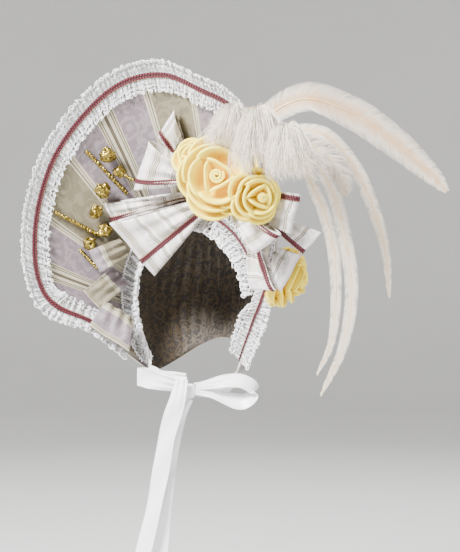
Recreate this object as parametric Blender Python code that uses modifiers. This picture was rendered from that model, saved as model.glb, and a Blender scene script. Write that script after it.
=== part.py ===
"""A lolita bonnet: a wide funnel brim of striped damask with a hollow crown, lace and braid
round both edges, a cockade of folded loops with foam roses, plumes and fluff, gold trim, and
ribbons tied under the chin.

X points to the wearer's left, Y to the back and Z up. The origin is on top of the head, inside
the crown. Tables are in millimetres. The trimming faces 30 degrees to the wearer's left, so its
tables give places as across (to the viewer's right there), up, and toward (out of the brim).
"""

import math

import bmesh
import bpy
import numpy as np
from mathutils import Vector
from mathutils.bvhtree import BVHTree

MM = 0.001
# Pieces that lie on others stop at this gap. The search for it takes in what lies this far to
# the side, and at most this many steps.
SEAT_GAP = 0.0005
SEAT_REACH = 0.004
SEAT_TRIES = 80
SEAT_TRAVEL = 0.3
PROBE_SHARES = (0.25, 0.5, 0.75)

TRIM_TURN = math.radians(30)
ACROSS = np.array([math.cos(TRIM_TURN), math.sin(TRIM_TURN), 0])
TOWARD = np.array([math.sin(TRIM_TURN), -math.cos(TRIM_TURN), 0])
UP = np.array([0, 0, 1])

BRIM_WALL = 0.002
BRIM_COLUMNS = 64
BRIM_ROWS = 3
BRIM_BULGE = 0.005
CROWN_WALL = 0.0018
CROWN_ROWS = 9
CROWN_COLUMNS = 20
FACE_PLANE = -0.014
CROWN_FRONT = -0.0117
FACE_CENTRE_UP = -0.096
NAPE_LIFT = 0.21

# One side of the brim, from the middle of its top (0) to its lower corner (1): the face edge's
# half width and height, then how wide, far forward and high the rim is on the wearer's right
# and on the wearer's left, and how deep the crown is behind that place.
# Columns: place, face_half, face_up, right_half, right_forward, right_up,
# left_half, left_forward, left_up, crown_depth
BRIM_STATIONS = np.array([
    (0.00, 0, 4, 0, 88, 195, 0, 88, 195, 0),
    (0.14, 36, -2, 62, 98, 186, 60, 88, 171, 62),
    (0.28, 68, -24, 119, 107, 145, 112, 86, 142, 92),
    (0.42, 90, -54, 170, 114, 80, 150, 76, 81, 108),
    (0.56, 102, -90, 195, 120, -5, 167, 75, -14, 116),
    (0.70, 102, -128, 188, 124, -85, 140, 53, -100, 115),
    (0.82, 95, -162, 166, 108, -128, 106, 27, -145, 108),
    (0.92, 82, -192, 120, 68, -158, 89, 23, -179, 98),
    (1.00, 69, -216, 76, 20, -208, 76, 20, -208, 88),
])

EDGE_GATHERS = 32
EDGE_LACE_INSIDE = 0.018
EDGE_LACE_OUTSIDE = 0.017
EDGE_LACE_WAVE = 0.006
EDGE_BRAID_WIDTH = 0.008
# Where the brim is narrow beside the wearer's left cheek, as places along it: from the first to
# the second, its edge lace turns to face forward and grows to cover the whole strip
CHEEK = (0.62, 0.8)
# Toward the wearer's right lower corner the rim bends in along the cloth, so between these two
# places the lace and braid turn square to the rim, and rise off the cloth by CORNER_LIFT
CORNER = (-0.7, -0.82)
CORNER_LIFT = 0.003
FACE_GATHERS = 14
FACE_LACE_OUTSIDE = 0.008
FACE_LACE_INSIDE = 0.013
FACE_LACE_FULL = 0.006
FACE_LACE_WAVE = 0.005
FACE_LACE_LEAN = 0.03
FACE_BRAID_WIDTH = 0.005
# Where the face lace runs, as columns of the brim, and the face braid, as columns of that lace
FACE_SPAN = slice(1, 53)
FACE_BRAID_SPAN = slice(21, 50)
LACE_THICK = 0.001
LACE_SEAT = 0.0009
BRAID_THICK = 0.0012
BRAID_SEAT = 0.0004
BRAID_MARGIN = 0.0012

LOOP_WALL = 0.0012
LOOP_STEPS = 12
LOOP_OPEN = 0.45
LOOP_BRAID_WIDTH = 0.006

# Folded bands of cloth, the lowest first: where the root is, then the two ends of the fold, how
# thick the loop puffs, how wide the root is as a share of the fold, and where its braid runs
# between the two ends of the fold (-1 to 1, or 9 for none). Columns: name, root across, up,
# toward, first end across, up, toward, second end across, up, toward, puff, root_width, braid
LOOPS = [
    ("pleat_2", -107, -80, 0, -160, -103, 20, -136, -129, 20, 14, 0.9, 9),
    ("pleat_3", -108, -128, 0, -150, -151, 20, -94, -187, 20, 12, 0.7, 9),
    ("pleat_1", -101, -40, 0, -151, -46, 20, -135, -77, 20, 14, 0.8, 9),
    ("bow_loop_1", -14, 80, 54, -52, 112, 62, -30, 144, 78, 18, 0.35, -0.7),
    ("bow_loop_2", -10, 54, 54, -64, 103, 50, -87, 38, 24, 24, 0.3, 0.6),
    ("bow_loop_3", -8, 30, 48, -131, 21, 12, -117, -12, 6, 14, 0.3, 0.3),
    ("bow_loop_4", 102, -56, 150, 138, -54, 166, 112, -102, 160, 12, 0.5, 9),
    ("bow_loop_5", 92, -2, 140, 163, -26, 172, 138, -53, 166, 14, 0.3, 0.8),
    ("bow_loop_6", 78, -38, 124, 105, -100, 160, 73, -98, 136, 14, 0.4, -0.75),
    ("bow_loop_7", 62, 22, 112, 135, 22, 176, 122, -28, 170, 20, 0.4, -0.75),
    ("bow_loop_8", 52, 8, 116, 110, -29, 172, 79, -53, 140, 16, 0.3, -0.8),
    ("bow_loop_9", 6, 14, 56, -122, -7, 14, -60, -81, 8, 24, 0.25, 0.42),
]
# How far out of the brim each piece of the trimming starts before it is laid on the others
LIFT = 0.09

# Foam roses: middle of the flower, where it faces, radius, and how far the petals rise in front
# and reach behind. Columns: name, across, up, toward, facing across, facing up, facing toward,
# radius, front, back
ROSES = [
    ("rose_small", -4, 78, 92, -0.35, 0.45, 1, 26, 14, 10),
    ("rose_large", 32, 46, 120, -0.15, 0.06, 1, 51, 24, 20),
    ("rose_medium", 75, 20, 170, 0.3, -0.14, 1, 33, 18, 16),
    ("rose_side", 192, -84, 112, 0.88, -0.3, 0.3, 40, 24, 20),
]
ROSE_SIDES = 16
# Rings of a rose from its middle to its back: share of the radius, and height as a share of the
# front rise (above 0) or of the back reach (below 0). Columns: radius, height
ROSE_RINGS = [(0.10, 0.86), (0.2, 1.0), (0.32, 0.62), (0.46, 0.86), (0.62, 0.38), (0.8, 0.56),
              (1.0, 0.12), (0.86, -0.2), (0.45, -0.75), (0.15, -1.0)]
ROSE_WAVES = (0, 0.04, 0.03, 0.07, 0.04, 0.08, 0.07, 0.04, 0, 0)

# Gold braids on the lining, each straight between two places. Columns: name, from column,
# from row, to column, to row, where a column is a place along the rim and a row goes from the
# face edge (0) to the rim (1)
GOLD_BRAIDS = [
    ("gold_braid_1", -0.325, 0.82, -0.275, 0.36),
    ("gold_braid_2", -0.51, 0.85, -0.475, 0.4),
]
GOLD_BRAID_RADIUS = 0.0032
# Crumpled gold knots. Columns: name, across, up, toward, radius
GOLD_KNOTS = [
    ("gold_knot_1", -122, 86, 40, 12),
    ("gold_knot_2", -130, 38, 40, 12),
    ("gold_knot_3", -140, 9, 40, 10.5),
    ("gold_knot_4", -106, 64, 40, 9.5),
    ("gold_knot_5", -128, -17, 40, 10.5),
    ("gold_knot_6", -150, -35, 40, 10.5),
]
# Thin gold ends. Columns: name, across and up where it starts, across and up where it ends
GOLD_ENDS = [
    ("gold_cord", -99, 58, -88, 52),
    ("gold_chain", -166, -44, -141, -70),
]
GOLD_END_RADIUS = 0.0022
LINING_STANDOFF = 0.04

# Cock plumes: points of each quill as across, up, toward, then the vane's width, and the share
# of the length where it is widest
PLUMES = [
    ("plume_1", [(58, 78, 112), (84, 108, 146), (138, 136, 168), (198, 122, 160), (258, 85, 146),
                 (308, 44, 132), (331, 21, 126)], 44, 0.5),
    ("plume_2", [(64, 60, 118), (108, 96, 158), (162, 97, 176), (203, 58, 166), (230, 4, 156),
                 (247, -53, 148), (253, -113, 142)], 20, 0.4),
    ("plume_5", [(72, 64, 126), (122, 84, 172), (160, 72, 178), (184, 44, 170),
                 (190, 18, 162)], 34, 0.6),
    ("plume_3", [(72, 44, 132), (126, 60, 174), (152, 22, 180), (172, -34, 168), (179, -99, 156),
                 (174, -166, 146), (156, -210, 138)], 17, 0.45),
    ("plume_4", [(80, 54, 140), (134, 74, 178), (168, 32, 176), (187, -27, 162),
                 (198, -100, 150), (188, -173, 140), (160, -237, 132)], 19, 0.5),
]
PLUME_STEPS = 10
PLUME_THICK = 0.0014

# Ostrich fluff: where the head is, where the locks hang to, and their width across, depth and
# number. Columns: name, head across, up, toward, end across, up, toward, width, depth, locks
TUFTS = [
    ("tuft_1", 52, 134, 150, 40, 88, 160, 40, 24, 5),
    ("tuft_2", 82, 130, 150, 88, 52, 186, 60, 30, 7),
    ("tuft_3", 116, 104, 160, 128, 42, 176, 50, 26, 6),
]
TUFT_SIDES = 18
TUFT_STEPS = 6

RIBBON_THICK = 0.001
RIBBON_WIDTH = 0.025
KNOT_PLACE = (-8, -237, 72)
KNOT_SIZE = (0.017, 0.02, 0.013)
# Ribbons: places of the middle line as across, up, toward, the way the width runs at the start
# and at the end, and the share of the width that is left there
RIBBONS = [
    ("tie_left", [(-68, -236, -16), (-62, -246, 0), (-44, -252, 30), (-12, -252, 54)],
     (0.25, 0.1, 1), (0, 1, 0.25), 1, 0.7),
    ("tie_right", [(54, -236, 46), (44, -244, 56), (26, -251, 62), (-3, -252, 62)],
     (0.5, 0.1, -1), (0, 1, 0.25), 1, 0.7),
    ("tie_loop_left", [(-19, -232, 68), (-42, -227, 76), (-72, -220, 72), (-84, -218, 60),
                       (-74, -219, 49), (-48, -224, 52), (-19, -232, 60)],
     (0, 1, 0.1), (0, 1, 0.1), 0.5, 0.5),
    ("tie_loop_right", [(3, -230, 70), (24, -226, 75), (46, -222, 80), (68, -223, 82),
                        (84, -236, 80), (68, -250, 78), (46, -247, 76), (24, -240, 74),
                        (3, -238, 72)], (0, -0.75, 0.66), (0, -0.75, 0.66), 0.35, 0.35),
    ("tie_tail_1", [(-20, -220, 88), (-25, -248, 90), (-38, -292, 82), (-47, -340, 76),
                    (-58, -398, 72), (-78, -480, 68)], (0.9, 0.1, 0.2), (0.8, 0, 0.55), 0.75, 1),
    ("tie_tail_2", [(-12, -262, 69), (-26, -290, 66), (-37, -340, 62), (-44, -398, 58),
                    (-52, -486, 54)], (0.95, 0.1, 0.2), (1, 0, 0.1), 0.7, 1),
]
# How far from its ends a ribbon is back at its whole width, as a share of its length
RIBBON_SPREAD = 0.3
RIBBON_STEPS_PER_SPAN = 3

COLOURS = {
    "damask": ((0.80, 0.77, 0.70), 0.7, 0.0),
    "lace": ((0.90, 0.87, 0.86), 0.85, 0.0),
    "rose braid": ((0.42, 0.13, 0.14), 0.7, 0.0),
    "yellow foam": ((0.93, 0.75, 0.36), 0.6, 0.0),
    "gold": ((0.72, 0.55, 0.20), 0.3, 1.0),
    "feather": ((0.90, 0.80, 0.70), 0.7, 0.0),
    "satin": ((0.92, 0.91, 0.93), 0.3, 0.0),
}


def material(name):
    made = bpy.data.materials.get(name)
    if made:
        return made
    colour, roughness, metallic = COLOURS[name]
    made = bpy.data.materials.new(name)
    made.use_nodes = True
    shader = made.node_tree.nodes["Principled BSDF"]
    shader.inputs["Base Color"].default_value = (*colour, 1)
    shader.inputs["Roughness"].default_value = roughness
    shader.inputs["Metallic"].default_value = metallic
    made.diffuse_color = (*colour, 1)
    return made


def trim(place):
    """A place of the trimming, given in millimetres as across, up and toward, in the bonnet's frame."""
    across, up, toward = place
    return (across * ACROSS + up * UP + toward * TOWARD) * MM


def unit(vectors):
    return vectors / np.linalg.norm(vectors, axis=-1, keepdims=True)


def smooth_between(positions, places, values):
    """Cubic curves through the rows of values at the given places, read at each position."""
    slopes = np.gradient(values, places, axis=0)
    row = np.clip(np.searchsorted(places, positions) - 1, 0, len(places) - 2)
    span = (places[row + 1] - places[row])[:, None]
    t = (positions - places[row])[:, None] / span
    near, far = values[row], values[row + 1]
    leave, arrive = slopes[row] * span, slopes[row + 1] * span
    ends = near * (2 * t**3 - 3 * t**2 + 1) + far * (3 * t**2 - 2 * t**3)
    return ends + leave * (t**3 - 2 * t**2 + t) + arrive * (t**3 - t**2)


def through(points, steps_per_span):
    """A smooth line through the points, with the same number of steps in each span."""
    points = np.array(points, float)
    places = np.arange(len(points), dtype=float)
    positions = np.linspace(0, len(points) - 1, steps_per_span * (len(points) - 1) + 1)
    return smooth_between(positions, places, points)


def add_mesh(name, points, faces, kind):
    mesh = bpy.data.meshes.new(name)
    mesh.from_pydata([tuple(point) for point in points], [], faces)
    mesh.update()
    mesh.materials.append(material(kind))
    obj = bpy.data.objects.new(name, mesh)
    collection().objects.link(obj)
    return obj


def collection():
    found = bpy.data.collections.get("Lolita bonnet")
    if not found:
        found = bpy.data.collections.new("Lolita bonnet")
        bpy.context.scene.collection.children.link(found)
    return found


def sheet(name, grid, thickness, kind, offset=-1):
    """A cloth wall: an open grid of points, thickened away from its visible side."""
    rows, columns = grid.shape[:2]
    number = np.arange(rows * columns).reshape(rows, columns)
    corners = [number[:-1, :-1], number[1:, :-1], number[1:, 1:], number[:-1, 1:]]
    faces = np.stack(corners, -1).reshape(-1, 4).tolist()
    obj = add_mesh(name, grid.reshape(-1, 3), faces, kind)
    thicken = obj.modifiers.new("Wall", "SOLIDIFY")
    thicken.thickness = thickness
    thicken.offset = offset
    obj.data.shade_smooth()
    return obj


def loft(name, rings, kind):
    """A closed body through rings of equal length, with a flat cap at each end."""
    rings = np.array(rings)
    count, sides = rings.shape[:2]
    number = np.arange(count * sides).reshape(count, sides)
    after = np.roll(number, -1, axis=1)
    walls = np.stack([number[:-1], after[:-1], after[1:], number[1:]], -1).reshape(-1, 4).tolist()
    faces = walls + [number[0, ::-1].tolist(), number[-1].tolist()]
    obj = add_mesh(name, rings.reshape(-1, 3), faces, kind)
    face_out(obj.data)
    obj.data.shade_smooth()
    obj.data.set_sharp_from_angle(angle=math.radians(50))
    return obj


def face_out(mesh):
    """Turns every face of a closed body outward."""
    body = bmesh.new()
    body.from_mesh(mesh)
    bmesh.ops.recalc_face_normals(body, faces=body.faces)
    body.to_mesh(mesh)
    body.free()


def strip(name, middle, wide, high, width, thickness, kind):
    """A flat band along a line: wide and high are the unit directions of its width and thickness."""
    half, tall = wide * width / 2, high * thickness
    rings = np.stack([middle - half, middle + half, middle + half + tall, middle - half + tall], 1)
    return loft(name, rings, kind)


def stations(places):
    """Face edge, rim and crown depth at places along the brim, negative on the wearer's right."""
    table = BRIM_STATIONS
    right = np.stack([-table[:, 1], table[:, 2], -table[:, 3], -table[:, 4], table[:, 5]], 1)
    left = np.stack([table[:, 1], table[:, 2], table[:, 6], -table[:, 7], table[:, 8]], 1)
    both = np.vstack([right[:0:-1], left])
    along = np.concatenate([-table[:0:-1, 0], table[:, 0]])
    values = smooth_between(places, along, both) * MM
    face = np.stack([values[:, 0], np.full(len(places), FACE_PLANE), values[:, 1]], 1)
    return face, values[:, 2:]


def brim_grid():
    """The lining: BRIM_COLUMNS + 1 lines from the face edge to the rim, bowed outward a little."""
    places = np.linspace(-1, 1, BRIM_COLUMNS + 1)
    face, rim = stations(places)
    row = np.linspace(0, 1, BRIM_ROWS + 1)[None, :, None]
    grid = face[:, None] * (1 - row) + rim[:, None] * row
    out = -side_of(grid)
    length = np.linalg.norm(rim - face, axis=1)[:, None, None]
    return grid + out * 4 * row * (1 - row) * BRIM_BULGE * np.minimum(length / 0.1, 1)


def side_of(grid):
    """Unit directions out of the lining's visible side, at each point of a grid."""
    along = np.gradient(grid, axis=0)
    across = np.gradient(grid, axis=1)
    return unit(np.cross(along, across))


LINING = brim_grid()
# The lace and braid stop one column short of each lower corner
TRIMMED = slice(1, -1)


def on_lining(place, row, height):
    """A point over the lining at a place along the rim (-1 to 1) and a row (0 at the face)."""
    column = (place + 1) / 2 * BRIM_COLUMNS
    near = min(int(column), BRIM_COLUMNS - 1)
    level = row * BRIM_ROWS
    low = min(int(level), BRIM_ROWS - 1)
    x, y = column - near, level - low
    corners = LINING[near:near + 2, low:low + 2]
    sides = side_of(LINING)[near:near + 2, low:low + 2]
    weight = np.outer([1 - x, x], [1 - y, y])[..., None]
    return (corners * weight).sum((0, 1)) + height * unit((sides * weight).sum((0, 1)))


def make_brim():
    sheet("brim", LINING, BRIM_WALL, "damask")


def make_crown():
    """Half ovals from one side of the face edge round the back to the other, growing from the
    top down, with the lower edge rising to the nape."""
    table = BRIM_STATIONS
    places = np.linspace(0, 1, CROWN_ROWS + 1)[1:]
    values = smooth_between(places, table[:, 0], table[:, [1, 2, 9]]) * MM
    half, up, depth = values[:, 0:1], values[:, 1:2], values[:, 2:3]
    top = table[0, 2] * MM
    turn = np.linspace(0, math.pi, CROWN_COLUMNS + 1)[None, :]
    rise = 1 - NAPE_LIFT * np.sin(turn) ** 2
    x = half * np.cos(turn)
    y = CROWN_FRONT + depth * np.sin(turn)
    z = top + (up - top) * rise
    ovals = np.stack([x, y, z], -1)
    points = np.vstack([[[0, CROWN_FRONT, top]], ovals.reshape(-1, 3)])
    number = 1 + np.arange(ovals.shape[0] * ovals.shape[1]).reshape(ovals.shape[:2])
    fan = [[0, a, b] for a, b in zip(number[0, :-1].tolist(), number[0, 1:].tolist())]
    corners = [number[:-1, :-1], number[1:, :-1], number[1:, 1:], number[:-1, 1:]]
    faces = fan + np.stack(corners, -1).reshape(-1, 4).tolist()
    obj = add_mesh("crown", points, faces, "damask")
    thicken = obj.modifiers.new("Wall", "SOLIDIFY")
    thicken.thickness = CROWN_WALL
    thicken.offset = 1
    obj.data.shade_smooth()


def twice_as_fine(points):
    """The same broken line with a point put in the middle of each piece."""
    fine = np.empty((2 * len(points) - 1, 3))
    fine[0::2] = points
    fine[1::2] = (points[:-1] + points[1:]) / 2
    return fine


def face_centre_from(edge):
    """Unit directions from an edge to the middle of the face opening, a little in front of it."""
    return unit(np.array([0, FACE_PLANE - FACE_LACE_LEAN, FACE_CENTRE_UP]) - edge)


def gathers(count, columns):
    """Waves of a gathered cloth, from 0 to 1, one value for each of its columns."""
    return (1 - np.cos(np.linspace(0, count * 2 * math.pi, columns)))[:, None] / 2


def make_edge_trim():
    """A ruffle that lies flat under the braid and waves more and more toward both borders."""
    edge, inner, face = (twice_as_fine(LINING[TRIMMED, row]) for row in (-1, -2, 0))
    places = np.linspace(-1, 1, 2 * BRIM_COLUMNS + 1)[2:-2, None]
    cheek = np.clip((places - CHEEK[0]) / (CHEEK[1] - CHEEK[0]), 0, 1)
    off = unit(unit(edge - inner) * (1 - cheek) - face_centre_from(edge) * cheek)
    corner = np.clip((places - CORNER[0]) / (CORNER[1] - CORNER[0]), 0, 1)
    along = unit(np.gradient(edge, axis=0))
    lining_side = unit(twice_as_fine(side_of(LINING)[TRIMMED, 1]))
    off = unit(off * (1 - corner) + np.cross(lining_side, along) * corner)
    side = unit(np.cross(along, off))
    edge = edge + side * CORNER_LIFT * corner
    length = np.linalg.norm(edge - face, axis=1, keepdims=True)
    braid = np.minimum(EDGE_BRAID_WIDTH, 0.14 * length)
    inside = np.minimum(EDGE_LACE_INSIDE, 0.34 * length)
    inside += (EDGE_LACE_INSIDE - inside) * cheek
    rise = side * gathers(EDGE_GATHERS, len(edge)) * EDGE_LACE_WAVE
    flat = edge + side * (LACE_SEAT + LACE_THICK / 2)
    grid = np.stack([
        flat - off * (braid + inside) + rise * inside / EDGE_LACE_INSIDE,
        flat - off * (braid + BRAID_MARGIN),
        flat + off * BRAID_MARGIN,
        flat + off * EDGE_LACE_OUTSIDE + rise,
    ], 1)
    sheet("edge_lace", grid, LACE_THICK, "lace", 0)
    over = edge + side * (LACE_SEAT + LACE_THICK + BRAID_SEAT)
    band("edge_braid", (over - off * braid)[::2], over[::2], side[::2])


def make_face_trim():
    """A ruffle along the face edge, half on the lining and half standing into the opening."""
    edge, inner, rim = (LINING[FACE_SPAN, row] for row in (0, 1, -1))
    off = unit(edge - inner)
    side = unit(np.cross(off, np.gradient(edge, axis=0)))
    length = np.linalg.norm(edge - rim, axis=1, keepdims=True)
    inward = face_centre_from(edge)
    places = np.linspace(-1, 1, BRIM_COLUMNS + 1)[FACE_SPAN, None]
    inside = FACE_LACE_INSIDE + FACE_LACE_FULL * np.exp(-((places - 0.25) / 0.35) ** 2)
    braid = np.minimum(FACE_BRAID_WIDTH, 0.18 * length)
    outside = np.minimum(FACE_LACE_OUTSIDE, 0.1 * length)
    wave = gathers(FACE_GATHERS, len(edge)) * FACE_LACE_WAVE
    front = np.array([0, -1, 0])
    flat = edge + side * (LACE_SEAT + LACE_THICK / 2)
    grid = np.stack([
        flat + off * BRAID_MARGIN + inward * inside + front * wave,
        flat + off * BRAID_MARGIN,
        flat - off * (braid + BRAID_MARGIN),
        flat - off * (braid + BRAID_MARGIN + outside) + side * wave * outside / FACE_LACE_OUTSIDE,
    ], 1)
    sheet("face_lace", grid, LACE_THICK, "lace", 0)
    over = (edge + side * (LACE_SEAT + LACE_THICK + BRAID_SEAT))[FACE_BRAID_SPAN]
    band("face_braid", over, over - (off * braid)[FACE_BRAID_SPAN], side[FACE_BRAID_SPAN])


def band(name, near, far, high):
    """A braid between two lines, BRAID_THICK high."""
    tall = high * BRAID_THICK
    return loft(name, np.stack([near, far, far + tall, near + tall], 1), "rose braid")


def loop_surface(row):
    """Points round a folded band: a teardrop from the root out to the fold and back, as wide as
    the fold at its end and pinched at the root."""
    root, first, second = (trim(row[start:start + 3]) for start in (1, 4, 7))
    puff = row[10] * MM
    end = (first + second) / 2
    half = (second - first) / 2
    facing = unit(np.cross(end - root, half))
    if facing @ TOWARD < 0:
        facing, half = -facing, -half
    turn = np.linspace(LOOP_OPEN, 2 * math.pi - LOOP_OPEN, LOOP_STEPS + 1)
    reach = ((1 - np.cos(turn)) / 2)[:, None, None]
    rise = puff / 2 * np.sin(turn) * np.sin(turn / 2) / 0.77
    rise = (np.sign(rise) * np.maximum(abs(rise), 0.0019))[:, None, None]
    side = np.array([-1, 0, 1])[None, :, None]
    spread = row[11] + (1 - row[11]) * reach
    ridge = 0.003 * (1 - reach) * (1 - abs(side)) * np.sign(rise)
    grid = root + (end - root) * reach + half * side * spread + facing * (rise + ridge)
    return grid, facing, bool((second - first) @ half > 0)


def make_loop(row):
    """A loop and the braid along it."""
    grid, facing, same_way = loop_surface(row)
    made = [sheet(row[0], grid, LOOP_WALL, "damask")]
    place = row[12] if same_way else -row[12]
    if abs(place) <= 1:
        made.append(make_loop_braid(row[0].replace("loop", "braid"), grid, facing, place))
    return made


def make_loop_braid(name, grid, facing, place):
    """A braid over one half of a loop's upper layer, from the root to the fold."""
    upper = grid[:LOOP_STEPS // 2 + 1]
    middle, border = upper[:, 1], upper[:, 2 if place > 0 else 0]
    length = np.linalg.norm(border - middle, axis=1, keepdims=True)
    half = LOOP_BRAID_WIDTH / 2 / length
    near, far = (
        middle + (border - middle) * np.clip(abs(place) + way * half, 0.03, 0.97)
        for way in (-1, 1)
    )
    along = unit(np.gradient((near + far) / 2, axis=0))
    high = unit(np.cross(along, far - near))
    high *= np.sign(high @ facing + 1e-9)[:, None]
    return band(name, near + high * BRAID_SEAT, far + high * BRAID_SEAT, high)


def make_rose(row):
    """Rings of petal rims and hollows, waved into petal tips, on a rounded back."""
    name, radius, front, back = row[0], *(value * MM for value in row[7:10])
    facing = unit(trim(row[4:7]))
    side = unit(np.cross(UP, facing))
    top = np.cross(facing, side)
    angle = np.linspace(0, 2 * math.pi, ROSE_SIDES, endpoint=False)
    rings = []
    for index, ((share, height), wave) in enumerate(zip(ROSE_RINGS, ROSE_WAVES)):
        petals = 3 if index < 4 else 5
        lobes = 1 + wave * np.cos(petals * angle + 1.3 * index)
        rise = (front if height > 0 else back) * height * (1 + wave * np.sin(petals * angle))
        around = np.cos(angle)[:, None] * side + np.sin(angle)[:, None] * top
        rings.append(trim(row[1:4]) + around * (radius * share * lobes)[:, None]
                     + facing * np.broadcast_to(rise, angle.shape)[:, None])
    return [loft(name, rings, "yellow foam")]


def make_gold_braid(row):
    """A straight braid a little over the lining."""
    name, from_place, from_row, to_place, to_row = row
    height = GOLD_BRAID_RADIUS + 0.012
    ends = [on_lining(from_place, from_row, height), on_lining(to_place, to_row, height)]
    return [tube(name, ends, GOLD_BRAID_RADIUS, "gold")]


def tube(name, points, radius, kind):
    """A round tube along a line of straight pieces."""
    curve = bpy.data.curves.new(name, "CURVE")
    curve.dimensions = "3D"
    curve.bevel_depth = radius
    curve.bevel_resolution = 1
    curve.use_fill_caps = True
    line = curve.splines.new("POLY")
    line.points.add(len(points) - 1)
    for spot, point in zip(line.points, points):
        spot.co = (*point, 1)
    curve.materials.append(material(kind))
    obj = bpy.data.objects.new(name, curve)
    collection().objects.link(obj)
    return obj


def make_gold_knot(row):
    """A ball of crumpled ribbon."""
    name, radius = row[0], row[4] * MM
    mesh = bpy.data.meshes.new(name)
    body = bmesh.new()
    bmesh.ops.create_icosphere(body, subdivisions=2, radius=1)
    for vertex in body.verts:
        x, y, z = vertex.co
        crumple = 1 + 0.16 * math.sin(5 * x + 3 * z) + 0.12 * math.cos(6 * y - 4 * x)
        vertex.co *= radius * crumple
    body.to_mesh(mesh)
    body.free()
    mesh.materials.append(material("gold"))
    obj = bpy.data.objects.new(name, mesh)
    obj.location = trim(row[1:4])
    collection().objects.link(obj)
    return [obj]


def make_gold_end(row):
    name, start_across, start_up, end_across, end_up = row
    toward = LINING_STANDOFF / MM
    ends = [trim((start_across, start_up, toward)), trim((end_across, end_up, toward))]
    return [tube(name, ends, GOLD_END_RADIUS, "gold")]


def make_plume(row):
    """A vane that widens from the quill and narrows to its tip, thicker along the middle."""
    name, points, width, widest = row
    line = through([trim(point) for point in points], 3)
    pick = np.linspace(0, len(line) - 1, PLUME_STEPS + 1)
    line = np.stack([np.interp(pick, np.arange(len(line)), line[:, axis]) for axis in range(3)], 1)
    share = np.linspace(0, 1, PLUME_STEPS + 1)
    bend = np.where(share < widest, share / widest, (1 - share) / (1 - widest))
    half = (0.06 + 0.94 * np.sin(bend * math.pi / 2))[:, None] * width * MM / 2
    along = unit(np.gradient(line, axis=0))
    across = unit(np.cross(along, TOWARD))
    high = unit(np.cross(across, along)) * PLUME_THICK / 2
    rings = np.stack([line - across * half, line - high, line + across * half, line + high], 1)
    return [loft(name, rings, "feather")]


def make_tuft(row):
    """Locks fused to a head: rings that grow lobes toward the end where the locks hang."""
    name = row[0]
    head, end = trim(row[1:4]), trim(row[4:7])
    width, depth, locks = row[7] * MM, row[8] * MM, row[9]
    angle = np.linspace(0, 2 * math.pi, TUFT_SIDES, endpoint=False)
    lock = np.cos(locks * angle)[:, None]
    rings = []
    for share in np.linspace(0, 1, TUFT_STEPS + 1):
        girth = 0.35 + 0.65 * math.sin(math.pi * (0.15 + 0.62 * share))
        taper = girth * (1 - 0.35 * share ** 4)
        centre = head + (end - head) * share + TOWARD * 0.012 * math.sin(math.pi * share)
        around = (np.cos(angle)[:, None] * ACROSS * width / 2
                  + np.sin(angle)[:, None] * TOWARD * depth / 2)
        rings.append(centre + around * taper * (1 + 0.16 * share * lock)
                     - UP * 0.009 * share ** 2 * lock)
    rings.append(centre + around * 0.2 - (end - head) * 0.08)
    return [loft(name, rings, "feather")]


def make_ribbon(row):
    name, points, start_wide, end_wide, start_share, end_share = row
    line = through([trim(point) for point in points], RIBBON_STEPS_PER_SPAN)
    share = np.linspace(0, 1, len(line))[:, None]
    along = unit(np.gradient(line, axis=0))
    wide = unit(trim(start_wide) * (1 - share) + trim(end_wide) * share)
    high = unit(np.cross(along, wide))
    wide = unit(np.cross(high, along))
    width = RIBBON_WIDTH * np.minimum(
        start_share + (1 - start_share) * np.minimum(share / RIBBON_SPREAD, 1),
        end_share + (1 - end_share) * np.minimum((1 - share) / RIBBON_SPREAD, 1),
    )
    return [strip(name, line, wide, high, width, RIBBON_THICK, "satin")]


def make_knot():
    mesh = bpy.data.meshes.new("tie_knot")
    body = bmesh.new()
    bmesh.ops.create_uvsphere(body, u_segments=12, v_segments=8, radius=1)
    across, up, toward = KNOT_SIZE
    for vertex in body.verts:
        x, y, z = vertex.co
        full = 1 + 0.1 * math.cos(3 * math.atan2(y, x))
        vertex.co = Vector(ACROSS) * x * across / 2 * full - Vector(TOWARD) * y * toward / 2 * full
        vertex.co.z = z * up / 2
    body.to_mesh(mesh)
    body.free()
    mesh.materials.append(material("satin"))
    obj = bpy.data.objects.new("tie_knot", mesh)
    obj.location = trim(KNOT_PLACE)
    collection().objects.link(obj)
    return [obj]


def shape_of(obj):
    """The finished surface of an object: points, triangles, and probes spread over them."""
    bpy.context.view_layer.update()
    graph = bpy.context.evaluated_depsgraph_get()
    mesh = bpy.data.meshes.new_from_object(obj.evaluated_get(graph))
    mesh.transform(obj.matrix_world)
    mesh.calc_loop_triangles()
    points = np.array([vertex.co for vertex in mesh.vertices])
    corners = np.array([triangle.vertices for triangle in mesh.loop_triangles])
    bpy.data.meshes.remove(mesh)
    corner = points[corners]
    along_edges = [corner + (np.roll(corner, 1, axis=1) - corner) * share for share in PROBE_SHARES]
    return points, corners, np.vstack([points, corner.mean(1), np.reshape(along_edges, (-1, 3))])


def joined(shapes):
    """Several shapes as one."""
    points, corners, probes = [], [], []
    for shape in shapes:
        corners.append(shape[1] + sum(len(part) for part in points))
        points.append(shape[0])
        probes.append(shape[2])
    return np.vstack(points), np.vstack(corners), np.vstack(probes)


def tree_of(shape):
    return BVHTree.FromPolygons(shape[0].tolist(), shape[1].tolist())


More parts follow.
